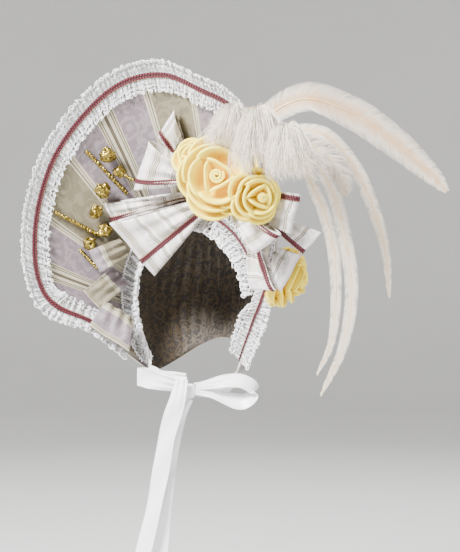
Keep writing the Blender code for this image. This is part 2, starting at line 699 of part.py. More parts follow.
def rest_on(pieces, carriers, way):
    """Moves the pieces along a direction until the nearest carrier is SEAT_GAP away."""
    way = unit(np.array(way, float))
    piece, carrier = joined([shape_of(obj) for obj in pieces]), joined(carriers)
    sideways = np.linalg.svd(way[None])[2][1:]
    low = (piece[2] @ sideways.T).min(0) - SEAT_REACH
    high = (piece[2] @ sideways.T).max(0) + SEAT_REACH
    flat = carrier[2] @ sideways.T
    facing = carrier[2][((flat > low) & (flat < high)).all(1)]
    piece_tree, carrier_tree = tree_of(piece), tree_of(carrier)
    moved = 0.0
    for _ in range(SEAT_TRIES):
        near = min(carrier_tree.find_nearest(probe)[3] for probe in piece[2] + way * moved)
        for probe in facing - way * moved:
            near = min(near, piece_tree.find_nearest(probe, near)[3] or near)
        if near - SEAT_GAP < SEAT_GAP / 8 or moved > SEAT_TRAVEL:
            break
        moved += near - SEAT_GAP
    for obj in pieces:
        obj.location += Vector(way * moved)


def remove_everything():
    for obj in list(bpy.data.objects):
        bpy.data.objects.remove(obj)


def lay(pieces, way, placed, lift=0.0):
    """Lays new pieces on what is already placed, coming from the opposite side."""
    for obj in pieces:
        obj.location -= Vector(way * lift)
    rest_on(pieces, placed, way)
    placed.extend(shape_of(obj) for obj in pieces)


def make_trimming(placed):
    """The cockade, built up from the lining as it is sewn on."""
    lay(make_rose(ROSES[3]), -ACROSS, placed)
    for row in GOLD_BRAIDS:
        lay(make_gold_braid(row), -TOWARD, placed)
    for row in GOLD_KNOTS:
        lay(make_gold_knot(row), -TOWARD, placed)
    for row in GOLD_ENDS:
        lay(make_gold_end(row), -TOWARD, placed)
    for row in LOOPS:
        lay(make_loop(row), -TOWARD, placed, LIFT)
    for row in PLUMES:
        lay(make_plume(row), -TOWARD, placed, LIFT)
    for row in ROSES[:3]:
        lay(make_rose(row), -TOWARD, placed, LIFT)
    for row in TUFTS:
        lay(make_tuft(row), -TOWARD, placed, LIFT)


def make_ties(placed):
    """Ribbons from both lower corners to a knot, with its two loops and two tails."""
    ties = [make_ribbon(row) for row in RIBBONS]
    for tie in ties[:2]:
        lay(tie, UP, placed)
    lay(make_knot(), -TOWARD, placed)
    for piece, way in zip(ties[2:], (ACROSS, -ACROSS, -TOWARD, UP)):
        lay(piece, way, placed)


def main():
    remove_everything()
    make_brim()
    make_crown()
    make_edge_trim()
    make_face_trim()
    placed = [shape_of(obj) for obj in collection().objects]
    make_trimming(placed)
    make_ties(placed)


main()
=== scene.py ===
"""The lolita bonnet as it is seen: a striped damask brim and gathered crown, two lace ruffles with
rose braid, a cockade of folded bands, foam roses, plumes and fluff, gold trim, and satin ties."""
import math

import bpy
import numpy as np
from bpy.props import FloatProperty, FloatVectorProperty, IntProperty, PointerProperty
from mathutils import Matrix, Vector


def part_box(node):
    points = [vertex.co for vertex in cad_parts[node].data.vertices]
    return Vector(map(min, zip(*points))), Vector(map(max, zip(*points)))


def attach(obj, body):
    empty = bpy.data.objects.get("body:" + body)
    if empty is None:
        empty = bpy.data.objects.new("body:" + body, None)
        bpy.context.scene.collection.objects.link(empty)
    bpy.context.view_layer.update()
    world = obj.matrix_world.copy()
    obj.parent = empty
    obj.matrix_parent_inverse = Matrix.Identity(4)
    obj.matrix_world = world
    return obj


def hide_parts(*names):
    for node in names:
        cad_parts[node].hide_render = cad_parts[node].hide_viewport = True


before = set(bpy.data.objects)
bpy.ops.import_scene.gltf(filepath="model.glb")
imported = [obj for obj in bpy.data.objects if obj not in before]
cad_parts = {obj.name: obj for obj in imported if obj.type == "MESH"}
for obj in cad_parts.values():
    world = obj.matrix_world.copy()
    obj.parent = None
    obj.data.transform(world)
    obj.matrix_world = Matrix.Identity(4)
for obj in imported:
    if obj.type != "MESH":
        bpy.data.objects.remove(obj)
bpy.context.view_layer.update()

bl_info = {
    "name": "Lolita bonnet",
    "version": (1, 0, 0),
    "blender": (4, 5, 0),
    "location": "View3D > Sidebar > Bonnet",
    "description": "Makes the cloth, lace, flowers, feathers and ribbons of a lolita bonnet",
    "category": "Add Mesh",
}

MM = 0.001
# The camera stands level with the bonnet, this far from its middle, and sees it at 1.40 mm a pixel
CAMERA_DISTANCE = 2.2
CAMERA_ACROSS = 0.046
CAMERA_UP = -0.081
CAMERA_LENS = 102.5
# The backdrop's section, in metres from the middle: how far out, and how high above the floor
BACKDROP = [(0, 0), (1, 0), (2, 0), (3, 0), (3.6, 0.06), (4.1, 0.22), (4.5, 0.52), (4.8, 0.95),
            (5, 1.5), (5.05, 3), (5.1, 6)]
# Lights. Columns: name, across, up, toward, size and power in watts
LIGHTS = [
    ("Key light", -1.5, 1.5, 1.4, 0.8, 370),
    ("Fill light", 1.7, 0.3, 1.6, 1.6, 34),
    ("Back light", 0.5, 1.5, -1.5, 1.4, 60),
]
TRIM_TURN = math.radians(30)
ACROSS = np.array([math.cos(TRIM_TURN), math.sin(TRIM_TURN), 0])
TOWARD = np.array([math.sin(TRIM_TURN), -math.cos(TRIM_TURN), 0])
UP = np.array([0.0, 0.0, 1.0])

# The brim from its top to a lower corner, in millimetres, with the rim on the wearer's right and
# on the left. Columns: place, face_half, face_up, right_half, right_forward, right_up, left_half,
# left_forward, left_up, crown_depth
BRIM_STATIONS = np.array([
    (0.00, 0, 4, 0, 88, 195, 0, 88, 195, 0),
    (0.14, 36, -2, 62, 98, 186, 60, 88, 171, 62),
    (0.28, 68, -24, 119, 107, 145, 112, 86, 142, 92),
    (0.42, 90, -54, 170, 114, 80, 150, 76, 81, 108),
    (0.56, 102, -90, 195, 120, -5, 167, 75, -14, 116),
    (0.70, 102, -128, 188, 124, -85, 140, 53, -100, 115),
    (0.82, 95, -162, 166, 108, -128, 106, 27, -145, 108),
    (0.92, 82, -192, 120, 68, -158, 89, 23, -179, 98),
    (1.00, 69, -216, 76, 20, -208, 76, 20, -208, 88),
])
# Rows of the brim's mesh from the face edge to the rim, and the one that the cloth is measured on
BRIM_ROWS = 31
BRIM_MEASURED_ROW = 20
BRIM_WALL = 0.002
BRIM_BULGE = 0.005
CROWN_WALL = 0.0018
CROWN_COLUMNS = 185
FACE_PLANE = -0.014
CROWN_FRONT = -0.0117
FACE_CENTRE_UP = -0.096
NAPE_LIFT = 0.21
# The lace and braid end this far from the brim's lower corners, as a share of one side
TRIM_END = 1 / 32
EDGE_LACE_INSIDE = 0.018
EDGE_LACE_OUTSIDE = 0.017
EDGE_BRAID_WIDTH = 0.008
# Beside the wearer's left cheek, from the first place to the second, the edge lace turns to face
# forward and grows to cover the narrow strip of the brim
CHEEK = (0.62, 0.8)
# Toward the wearer's right lower corner the rim bends in along the cloth, so between these two
# places the lace and braid turn square to the rim, and rise off the cloth by CORNER_LIFT
CORNER = (-0.7, -0.82)
CORNER_LIFT = 0.003
# Where the face lace and its braid end, as places along the brim
FACE_LACE_ENDS = (-0.96875, 0.625)
FACE_BRAID_ENDS = (-0.3125, 0.5625)
FACE_LACE_OUTSIDE = 0.008
FACE_LACE_INSIDE = 0.013
FACE_LACE_FULL = 0.006
FACE_LACE_LEAN = 0.03
FACE_BRAID_WIDTH = 0.005
# Looped cords on the edge lace. Columns: row of its mesh, way out (1) or in (-1), length and reach
# of a loop, radius of the cord
EDGE_CORDS = [(0, -1, 0.0062, 0.0020, 0.0006), (3, -1, 0.0086, 0.0022, 0.0006),
              (11, 1, 0.0092, 0.0024, 0.0006), (-1, 1, 0.0066, 0.0024, 0.0006)]
# The same on the face lace, whose cords all loop inward. Columns: row, length, reach, radius
FACE_CORDS = [(0, 0.0090, 0.0032, 0.0009), (2, 0.0105, 0.0028, 0.0008),
              (4, 0.0098, 0.0030, 0.0008), (6, 0.0110, 0.0026, 0.0008),
              (-1, 0.0078, 0.0018, 0.0008)]
EDGE_LACE_COLUMNS = 1801
FACE_LACE_COLUMNS = 1601
LACE_THICK = 0.001
LACE_SEAT = 0.0009
# A braid follows every fourth column of the lace below it
BRAID_STEP = 4
BRAID_THICK = 0.0012
BRAID_SEAT = 0.0004
BRAID_MARGIN = 0.0012
LOOP_WALL = 0.0012
LOOP_OPEN = 0.45
LOOP_BRAID_WIDTH = 0.006
# Rows of a band's mesh from its root to the fold
LOOP_STEPS = 32

# Where the cloth's repeats run round the brim: place, and count of repeats there. A whole number
# is the middle of a cream panel, and a half is the middle of a wide line between lilac panels
STRIPE_PLACES = np.array([
    (-1.0, -1.30), (-0.86, -1.0), (-0.66, -0.5), (-0.457, 0.0), (-0.23, 0.5), (0.01, 1.0),
    (0.24, 1.5), (0.46, 2.0), (0.68, 2.5), (0.90, 3.0), (1.0, 3.22),
])

# Folded bands. Columns: name, root across, up, toward, first end across, up, toward, second end
# across, up, toward, puff, root_width as a share, braid, repeat of the cloth at the fold, repeats
# per metre. The braid lies at that place across the band, from -1 to 1, and 9 is a band without
LOOPS = [
    ("pleat_2", -107, -80, 0, -160, -103, 20, -136, -129, 20, 14, 0.9, 9, 0.18, 9.0),
    ("pleat_3", -108, -128, 0, -150, -151, 20, -94, -187, 20, 12, 0.7, 9, 0.50, 8.0),
    ("pleat_1", -101, -40, 0, -151, -46, 20, -135, -77, 20, 14, 0.8, 9, 0.33, 8.0),
    ("bow_loop_1", -14, 80, 54, -52, 112, 62, -30, 144, 78, 18, 0.35, -0.7, 0.30, 12.0),
    ("bow_loop_2", -10, 54, 54, -64, 103, 50, -87, 38, 24, 24, 0.3, 0.6, 0.80, 11.0),
    ("bow_loop_3", -8, 30, 48, -131, 21, 12, -117, -12, 6, 14, 0.3, 0.3, 0.27, 12.0),
    ("bow_loop_4", 102, -56, 150, 138, -54, 166, 112, -102, 160, 12, 0.5, 9, 0.45, 12.0),
    ("bow_loop_5", 92, -2, 140, 163, -26, 172, 138, -53, 166, 14, 0.3, 0.8, 0.40, 12.0),
    ("bow_loop_6", 78, -38, 124, 105, -100, 160, 73, -98, 136, 14, 0.4, -0.75, 0.40, 12.0),
    ("bow_loop_7", 62, 22, 112, 135, 22, 176, 122, -28, 170, 20, 0.4, -0.75, 0.30, 12.0),
    ("bow_loop_8", 52, 8, 116, 110, -29, 172, 79, -53, 140, 16, 0.3, -0.8, 0.75, 12.0),
    ("bow_loop_9", 6, 14, 56, -122, -7, 14, -60, -81, 8, 24, 0.25, 0.42, 0.70, 11.0),
]

# Foam roses. Columns: name, across, up, toward, facing across, facing up, facing toward, radius,
# front, back, rings of petals from the heart outward, turn of the flower in degrees, and how far
# the heart is off the middle, as shares of the radius
ROSES = [
    ("rose_small", -4, 78, 92, -0.35, 0.45, 1, 26, 14, 10, "small", 20, (0.1, 0.1)),
    ("rose_large", 32, 46, 120, -0.15, 0.06, 1, 51, 24, 20, "large", 62, (0.0, 0.0)),
    ("rose_medium", 75, 20, 170, 0.3, -0.14, 1, 33, 18, 16, "medium", 10, (0.26, 0.0)),
    ("rose_side", 192, -84, 112, 0.88, -0.3, 0.3, 40, 24, 20, "open", 35, (0.0, 0.0)),
]
# Rings of petals. Columns: petals, radius of the rim and its height as shares of the flower's
# radius and front, height of the hollow behind it, how far each petal overlaps the next, how far
# its ends stand out (or, below 0, its middle), and the turn from the ring inside it in degrees
PETAL_RINGS = {
    "small": [(3, 0.42, 0.95, 0.30, 1.05, 0.35, 0), (4, 0.72, 0.75, 0.0, 1.15, -0.10, 50),
              (4, 1.0, 0.40, -0.3, 1.15, -0.16, 40)],
    "large": [(3, 0.34, 1.00, 0.25, 1.04, 0.55, 0), (4, 0.68, 0.86, -0.05, 1.12, -0.06, 33),
              (4, 0.86, 0.62, -0.25, 1.15, -0.10, 48), (5, 1.02, 0.30, -0.5, 1.10, -0.15, 30)],
    "medium": [(3, 0.40, 1.00, 0.30, 1.05, 0.40, 0), (3, 0.64, 0.90, 0.1, 1.08, 0.0, 62),
               (4, 0.82, 0.66, -0.2, 1.15, -0.10, 45), (5, 1.02, 0.30, -0.5, 1.1, -0.15, 30)],
    "open": [(3, 0.36, 1.00, 0.30, 1.05, 0.40, 0), (4, 0.66, 0.72, 0.1, 1.05, -0.1, 40),
             (5, 0.86, 0.34, -0.2, 1.0, -0.2, 36), (5, 1.0, -0.04, -0.5, 0.95, -0.2, 40),
             (5, 0.98, -0.36, -0.7, 0.9, -0.2, 36)],
}
ROSE_RINGS = [(0.10, 0.86), (0.2, 1.0), (0.32, 0.62), (0.46, 0.86), (0.62, 0.38), (0.8, 0.56),
              (1.0, 0.12), (0.86, -0.2), (0.45, -0.75), (0.15, -1.0)]
ROSE_WAVES = (0, 0.04, 0.03, 0.07, 0.04, 0.08, 0.07, 0.04, 0, 0)

# Gold braids on the lining. Columns: name, from place, from row, to place, to row
GOLD_BRAIDS = [
    ("gold_braid_1", -0.325, 0.82, -0.275, 0.36),
    ("gold_braid_2", -0.51, 0.85, -0.475, 0.4),
]
GOLD_BRAID_RADIUS = 0.0032
# How far a gold braid hangs off the lining, and how its sequins stand in front of it by turns
GOLD_LIFT = 0.012
GOLD_SEQUIN_RADIUS = 0.0019
GOLD_SEQUIN_FORWARD = 0.0024
GOLD_SEQUIN_SWAY = 0.0012
GOLD_TWIST = 0.0055
GOLD_BEAD_PITCH = 0.0068
# Gold ends. Columns: name, start across and up, end across and up, beads along it
GOLD_ENDS = [
    ("gold_cord", -99, 58, -88, 52, 5),
    ("gold_chain", -166, -44, -141, -70, 11),
]
GOLD_END_RADIUS = 0.0022

# Plumes: points of each quill as across, up, toward, the vane's width, where it is widest, how
# far the barbs stand apart, and how much peach they carry
PLUMES = [
    ("plume_1", [(58, 78, 112), (84, 108, 146), (138, 136, 168), (198, 122, 160), (258, 85, 146),
                 (308, 44, 132), (331, 21, 126)], 44, 0.5, 0.35, 0.75),
    ("plume_2", [(64, 60, 118), (108, 96, 158), (162, 97, 176), (203, 58, 166), (230, 4, 156),
                 (247, -53, 148), (253, -113, 142)], 20, 0.4, 0.5, 0.45),
    ("plume_5", [(72, 64, 126), (122, 84, 172), (160, 72, 178), (184, 44, 170),
                 (190, 18, 162)], 34, 0.6, 0.9, 0.15),
    ("plume_3", [(72, 44, 132), (126, 60, 174), (152, 22, 180), (172, -34, 168), (179, -99, 156),
                 (174, -166, 146), (156, -210, 138)], 17, 0.45, 0.55, 0.35),
    ("plume_4", [(80, 54, 140), (134, 74, 178), (168, 32, 176), (187, -27, 162),
                 (198, -100, 150), (188, -173, 140), (160, -237, 132)], 19, 0.5, 0.55, 0.35),
]
QUILL_RADIUS = 0.0009
QUILL_TIP_RADIUS = 0.0002
# Fluff. Columns: name, head across, up, toward, end across, up, toward, width, depth, locks
TUFTS = [
    ("tuft_1", 52, 134, 150, 40, 88, 160, 40, 24, 5),
    ("tuft_2", 82, 130, 150, 88, 52, 186, 60, 30, 7),
    ("tuft_3", 116, 104, 160, 128, 42, 176, 50, 26, 6),
]
WISPS_PER_LOCK = 14
STRAND_POINTS = 13

RIBBON_THICK = 0.001
RIBBON_WIDTH = 0.025
SATIN_WALL = 0.0006
RIBBON_SPREAD = 0.3
KNOT_SIZE = (0.017, 0.02, 0.013)
# Ribbons: places of the middle line, the way the width runs at the start and at the end, the
# share of the width left there, how the cloth is held, and what it hangs from
RIBBONS = [
    ("tie_left", [(-68, -236, -16), (-62, -246, 0), (-44, -252, 30), (-12, -252, 54)],
     (0.25, 0.1, 1), (0, 1, 0.25), 1, 0.7, "hung", ("brim", "tie_knot")),
    ("tie_right", [(54, -236, 46), (44, -244, 56), (26, -251, 62), (-3, -252, 62)],
     (0.5, 0.1, -1), (0, 1, 0.25), 1, 0.7, "hung", ("brim", "tie_knot")),
    ("tie_loop_left", [(-19, -232, 68), (-42, -227, 76), (-72, -220, 72), (-84, -218, 60),
                       (-74, -219, 49), (-48, -224, 52), (-19, -232, 60)],
     (0, 1, 0.1), (0, 1, 0.1), 0.5, 0.5, "folded", ("tie_knot",)),
    ("tie_loop_right", [(3, -230, 70), (24, -226, 75), (46, -222, 80), (68, -223, 82),
                        (84, -236, 80), (68, -250, 78), (46, -247, 76), (24, -240, 74),
                        (3, -238, 72)], (0, -0.75, 0.66), (0, -0.75, 0.66), 0.35, 0.35,
     "folded", ("tie_knot",)),
    ("tie_tail_1", [(-20, -220, 88), (-25, -248, 90), (-38, -292, 82), (-47, -340, 76),
                    (-58, -398, 72), (-78, -480, 68)], (0.9, 0.1, 0.2), (0.8, 0, 0.55), 0.75, 1,
     "hung", ("tie_knot",)),
    ("tie_tail_2", [(-12, -262, 69), (-26, -290, 66), (-37, -340, 62), (-44, -398, 58),
                    (-52, -486, 54)], (0.95, 0.1, 0.2), (1, 0, 0.1), 0.7, 1, "hung",
     ("tie_knot",)),
]


# Shapes as whole arrays

def trim(place):
    """Places given in millimetres as across, up and toward, in the bonnet's frame."""
    place = np.asarray(place, float)
    return (place[..., 0:1] * ACROSS + place[..., 1:2] * UP + place[..., 2:3] * TOWARD) * MM


def unit(vectors):
    """The same directions with length 1."""
    return vectors / np.maximum(np.linalg.norm(vectors, axis=-1, keepdims=True), 1e-12)


def smooth_between(positions, places, values):
    """Cubic curves through the rows of values at the given places, read at each position."""
    slopes = np.gradient(values, places, axis=0)
    row = np.clip(np.searchsorted(places, positions) - 1, 0, len(places) - 2)
    span = (places[row + 1] - places[row])[:, None]
    t = (positions - places[row])[:, None] / span
    near, far = values[row], values[row + 1]
    leave, arrive = slopes[row] * span, slopes[row + 1] * span
    ends = near * (2 * t**3 - 3 * t**2 + 1) + far * (3 * t**2 - 2 * t**3)
    return ends + leave * (t**3 - 2 * t**2 + t) + arrive * (t**3 - t**2)


def through(points, steps_per_span):
    """A smooth line through the points, with the same number of steps in each span."""
    points = np.array(points, float)
    places = np.arange(len(points), dtype=float)
    positions = np.linspace(0, len(points) - 1, steps_per_span * (len(points) - 1) + 1)
    return smooth_between(positions, places, points)


def arc(points):
    """How far along each line of points lies, in metres, along the first axis."""
    steps = np.linalg.norm(np.diff(points, axis=0), axis=-1)
    return np.concatenate([np.zeros_like(steps[:1]), np.cumsum(steps, axis=0)])


def arc_across(grid):
    """How far along its second axis each point of a grid lies, in metres."""
    return arc(np.swapaxes(grid, 0, 1)).T


def full_turn(count):
    """Angles an equal step apart that go once round."""
    return np.linspace(0, 2 * math.pi, count, endpoint=False)


def circle(angle, first, second):
    """Places on a circle: the cosine of the angle along one direction, its sine along another."""
    return np.cos(angle)[..., None] * first + np.sin(angle)[..., None] * second


def turned(distance, turn, rise):
    """Places at a distance from the Z axis, at an angle round it, and at a height."""
    return np.stack(np.broadcast_arrays(distance * np.cos(turn), distance * np.sin(turn), rise), -1)


def strip(middle, half):
    """Flat strips along lines of points, reaching half their width to each side."""
    return np.stack([middle - half, middle + half], -2)


def between(ends, share):
    """Places on the straight line from one end to the other."""
    return ends[0] + (ends[1] - ends[0]) * share[:, None]


def pairs(first, second):
    """Two numbers side by side at every point of a grid."""
    return np.stack(np.broadcast_arrays(first, second), -1)


def heading(lines, axis=0):
    """Unit directions along each line of points."""
    return unit(np.gradient(lines, axis=axis))


def read_lines(lines, index):
    """Each line of points read at fractions of its rows."""
    whole = np.arange(len(lines))
    return np.stack([np.interp(index, whole, lines[:, axis]) for axis in range(3)], 1)


def evenly(points, count):
    """The same line with its points an equal distance apart."""
    along = arc(points)
    at = np.linspace(0, along[-1], count)
    return np.stack([np.interp(at, along, points[:, axis]) for axis in range(3)], 1)


def soft_noise(rng, positions, bumps, period=1.0):
    """A smooth random line from -1 to 1: a sum of a few sines with random phases."""
    total = np.zeros_like(positions)
    for octave in range(1, 4):
        count = bumps * octave * rng.uniform(0.8, 1.2)
        phase = rng.uniform(0, 2 * math.pi)
        total = total + np.sin(2 * math.pi * positions / period * count + phase) / octave
    return total / 1.83


def side_of(grid):
    """Unit directions out of a grid's visible side: its first direction crossed with its second."""
    return unit(np.cross(np.gradient(grid, axis=0), np.gradient(grid, axis=1)))


def to_node(node_name, coarse):
    """How far the node's solid was moved as it was seated: from the middle of the same form as
    the table gives it, to the middle of the node."""
    low, high = (np.array(corner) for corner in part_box(node_name))
    points = np.reshape(coarse, (-1, 3))
    return (low + high) / 2 - (points.min(0) + points.max(0)) / 2


# Meshes

class Patch:
    """A stack of equal grids of points, with a place on the cloth for each of them."""

    def __init__(self, points, cloth=None, stripes=None, tone=0.5, around=False, part=0):
        """around closes each grid on itself, and part is the number of its material."""
        self.points = points if points.ndim == 4 else points[None]
        count, rows, columns = self.points.shape[:3]
        wide = columns + around
        if cloth is None:
            cloth = np.stack(np.meshgrid(np.linspace(0, 1, rows), np.linspace(0, 1, wide),
                                         indexing="ij"), -1)
        self.cloth = np.broadcast_to(cloth, (count, rows, wide, 2))
        if stripes is None:
            stripes = self.cloth
        self.stripes = np.broadcast_to(stripes, (count, rows, wide, 2))
        self.tone = np.broadcast_to(tone, (count, rows, columns))
        self.around = around
        self.part = part


def make_mesh(name, patches, materials):
    """One object from all the patches: every four neighbouring points of a grid are a face."""
    points, tones, faces, cloths, stripes, parts = [], [], [], [], [], []
    start = 0
    for patch in patches:
        count, rows, columns = patch.points.shape[:3]
        number = np.arange(count * rows * columns).reshape(count, rows, columns)
        wide = columns + patch.around
        place = np.arange(count * rows * wide).reshape(count, rows, wide)
        if patch.around:
            number = np.concatenate([number, number[:, :, :1]], 2)
        quads, spots = (np.stack([n[:, :-1, :-1], n[:, 1:, :-1], n[:, 1:, 1:], n[:, :-1, 1:]],
                                 -1).reshape(-1, 4) for n in (number, place))
        points.append(patch.points.reshape(-1, 3))
        tones.append(patch.tone.reshape(-1))
        faces.append(quads + start)
        cloths.append(patch.cloth.reshape(-1, 2)[spots].reshape(-1, 2))
        stripes.append(patch.stripes.reshape(-1, 2)[spots].reshape(-1, 2))
        parts.append(np.full(len(quads), patch.part))
        start += count * rows * columns
    points, faces = np.vstack(points), np.vstack(faces)
    mesh = bpy.data.meshes.new(name)
    mesh.vertices.add(len(points))
    mesh.vertices.foreach_set("co", points.astype(np.float32).ravel())
    mesh.loops.add(faces.size)
    mesh.loops.foreach_set("vertex_index", faces.astype(np.int32).ravel())
    mesh.polygons.add(len(faces))
    mesh.polygons.foreach_set("loop_start", np.arange(0, faces.size, 4, dtype=np.int32))
    mesh.polygons.foreach_set("loop_total", np.full(len(faces), 4, np.int32))
    mesh.polygons.foreach_set("material_index", np.concatenate(parts).astype(np.int32))
    mesh.polygons.foreach_set("use_smooth", np.full(len(faces), True))
    mesh.update(calc_edges=True)
    for label, places in (("cloth", cloths), ("stripes", stripes)):
        layer = mesh.uv_layers.new(name=label)
        layer.data.foreach_set("uv", np.vstack(places).astype(np.float32).ravel())
    tone = mesh.attributes.new("tone", "FLOAT", "POINT")
    tone.data.foreach_set("value", np.concatenate(tones).astype(np.float32))
    mesh.validate()
    for material in materials:
        mesh.materials.append(material)
    obj = bpy.data.objects.new(name, mesh)
    bpy.context.scene.collection.objects.link(obj)
    return obj


def wall(obj, thickness, offset=-1.0, inside=0, rim=0):
    """Gives a cloth its thickness, with its own material on the inner side and the cut edge."""
    thicken = obj.modifiers.new("Wall", "SOLIDIFY")
    thicken.thickness = thickness
    thicken.offset = offset
    thicken.material_offset = inside
    thicken.material_offset_rim = rim


def soften(obj):
    """Rounds a piece by one level of subdivision."""
    rounded = obj.modifiers.new("Soften", "SUBSURF")
    rounded.levels = 1
    rounded.render_levels = 1


def make_piece(name, patches, materials, node_name):
    """A mesh that takes the place of a CAD node and rides on the one body."""
    piece = make_mesh(name, patches, materials)
    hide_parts(node_name)
    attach(piece, "root")
    return piece


# Materials

def node(tree, kind, inputs=None, **settings):
    """A shader node with its settings. Each input is a value, or the socket that feeds it."""
    made = tree.nodes.new("ShaderNode" + kind)
    for key, value in settings.items():
        setattr(made, key, value)
    for place, value in (inputs or {}).items():
        if isinstance(value, bpy.types.NodeSocket):
            tree.links.new(value, made.inputs[place])
        else:
            made.inputs[place].default_value = value
    return made


def sum_of(tree, operation, first, second=0.0, third=0.0):
    """One step of arithmetic."""
    return node(tree, "Math", {0: first, 1: second, 2: third}, operation=operation).outputs[0]


def times(tree, first, second):
    """The product of two values."""
    return sum_of(tree, "MULTIPLY", first, second)


def scaled(tree, value, by, plus):
    """A value times a second one, and a third added."""
    return sum_of(tree, "MULTIPLY_ADD", value, by, plus)


def apart(tree, first, second):
    """How far apart two values are."""
    return sum_of(tree, "ABSOLUTE", sum_of(tree, "SUBTRACT", first, second))


def within(tree, value, low, high):
    """0 at low and on its far side, 1 at high and beyond it, and smooth between."""
    return node(tree, "MapRange", {0: value, 1: low, 2: high},
                interpolation_type="SMOOTHSTEP").outputs[0]


def ramp(tree, value, stops, steps="LINEAR"):
    """A colour for each value: stops are a place and a colour."""
    made = node(tree, "ValToRGB", {0: value})
    made.color_ramp.interpolation = steps
    elements = made.color_ramp.elements
    for index, (place, colour) in enumerate(stops):
        element = elements[index] if index < 2 else elements.new(place)
        element.position = place
        element.color = (*colour, 1)
    return made.outputs[0]


def blend_colours(tree, share, first, second, kind="MIX"):
    """The first colour, and by the share the second. Each is a colour or a socket."""
    first, second = (value if isinstance(value, bpy.types.NodeSocket) else (*value[:3], 1)
                     for value in (first, second))
    return node(tree, "Mix", {0: share, 6: first, 7: second}, data_type="RGBA",
                blend_type=kind).outputs[2]


def uv_map(tree, label):
    """Where a point lies on the flat cloth, or across its stripes or border."""
    return node(tree, "UVMap", uv_map=label).outputs[0]


def object_place(tree):
    """Where a point lies in the bonnet's frame."""
    return node(tree, "TexCoord").outputs["Object"]


def tone_of(tree):
    """The tone that the mesh gives to a point, from 0 deep to 1 high. On lace, braid and foam it
    places painted shade and painted light.
    """
    return node(tree, "Attribute", attribute_name="tone").outputs["Fac"]


def stretched(tree, vector, scale):
    """A place with each of its axes scaled."""
    return node(tree, "Mapping", {"Vector": vector, "Scale": scale}).outputs[0]


def noise(tree, where, scale, detail=2.0, distortion=0.0):
    """Cloudy noise, around a half."""
    return node(tree, "TexNoise", {"Vector": where, "Scale": scale, "Detail": detail,
                                   "Distortion": distortion}).outputs["Fac"]


def tinted(colour, share, lift=0.0):
    """A share of the colour, and lift added to it."""
    return tuple(share * value + lift for value in colour)


def midway(first, second):
    """The colour halfway between two."""
    return tuple((a + b) / 2 for a, b in zip(first, second))


def group_of(name, inputs, outputs, build):
    """A shader node group, made once: build(tree, sockets) gives the value of each output."""
    found = bpy.data.node_groups.get(name)
    if found:
        return found
    tree = bpy.data.node_groups.new(name, "ShaderNodeTree")
    for label, kind, default in inputs:
        socket = tree.interface.new_socket(label, in_out="INPUT", socket_type="NodeSocket" + kind)
        if default is not None:
            socket.default_value = default
    for label, kind in outputs:
        tree.interface.new_socket(label, in_out="OUTPUT", socket_type="NodeSocket" + kind)
    start, end = tree.nodes.new("NodeGroupInput"), tree.nodes.new("NodeGroupOutput")
    for place, value in enumerate(build(tree, start.outputs)):
        tree.links.new(value, end.inputs[place])
    return tree


def weave_group():
    """Crossed threads: two sets of fine bands, one raised over the other by turns."""
    def build(tree, given):
        bands = [node(tree, "TexWave", {"Vector": given["Vector"], "Scale": given["Threads"],
                                        "Distortion": 0.4, "Detail": 1.0},
                      bands_direction=way).outputs["Fac"] for way in ("X", "Y")]
        height = sum_of(tree, "MAXIMUM", *bands)
        loose = noise(tree, given["Vector"], 260.0, 3.0)
        return height, scaled(tree, loose, 0.5, 0.75)
    return group_of("Thread weave", [("Vector", "Vector", None), ("Threads", "Float", 180.0)],
                    [("Height", "Float"), ("Shade", "Float")], build)


def figure_group():
    """Damask flowers and leaves: rings round scattered hearts, cut by curling veins."""
    def build(tree, given):
        bent = node(tree, "TexNoise", {"Vector": given["Vector"], "Scale": 70.0, "Detail": 1.0})
        drift = node(tree, "VectorMath", {0: bent.outputs["Color"], 1: (0.5, 0.5, 0.5)},
                     operation="SUBTRACT").outputs[0]
        amount = node(tree, "VectorMath", {0: drift, "Scale": 0.02}, operation="SCALE").outputs[0]
        where = node(tree, "VectorMath", {0: given["Vector"], 1: amount}).outputs[0]
        heart = node(tree, "TexVoronoi", {"Vector": where, "Scale": given["Motifs"],
                                          "Randomness": 0.6}, feature="F1").outputs["Distance"]
        rings = sum_of(tree, "SINE", times(tree, heart, 15.0))
        veins = noise(tree, where, 130.0, 2.0, 1.6)
        leaves = scaled(tree, veins, 5.2, -2.6)
        return (within(tree, sum_of(tree, "ADD", rings, leaves), -0.1, 0.35),)
    return group_of("Damask figure", [("Vector", "Vector", None), ("Motifs", "Float", 42.0)],
                    [("Mask", "Float")], build)


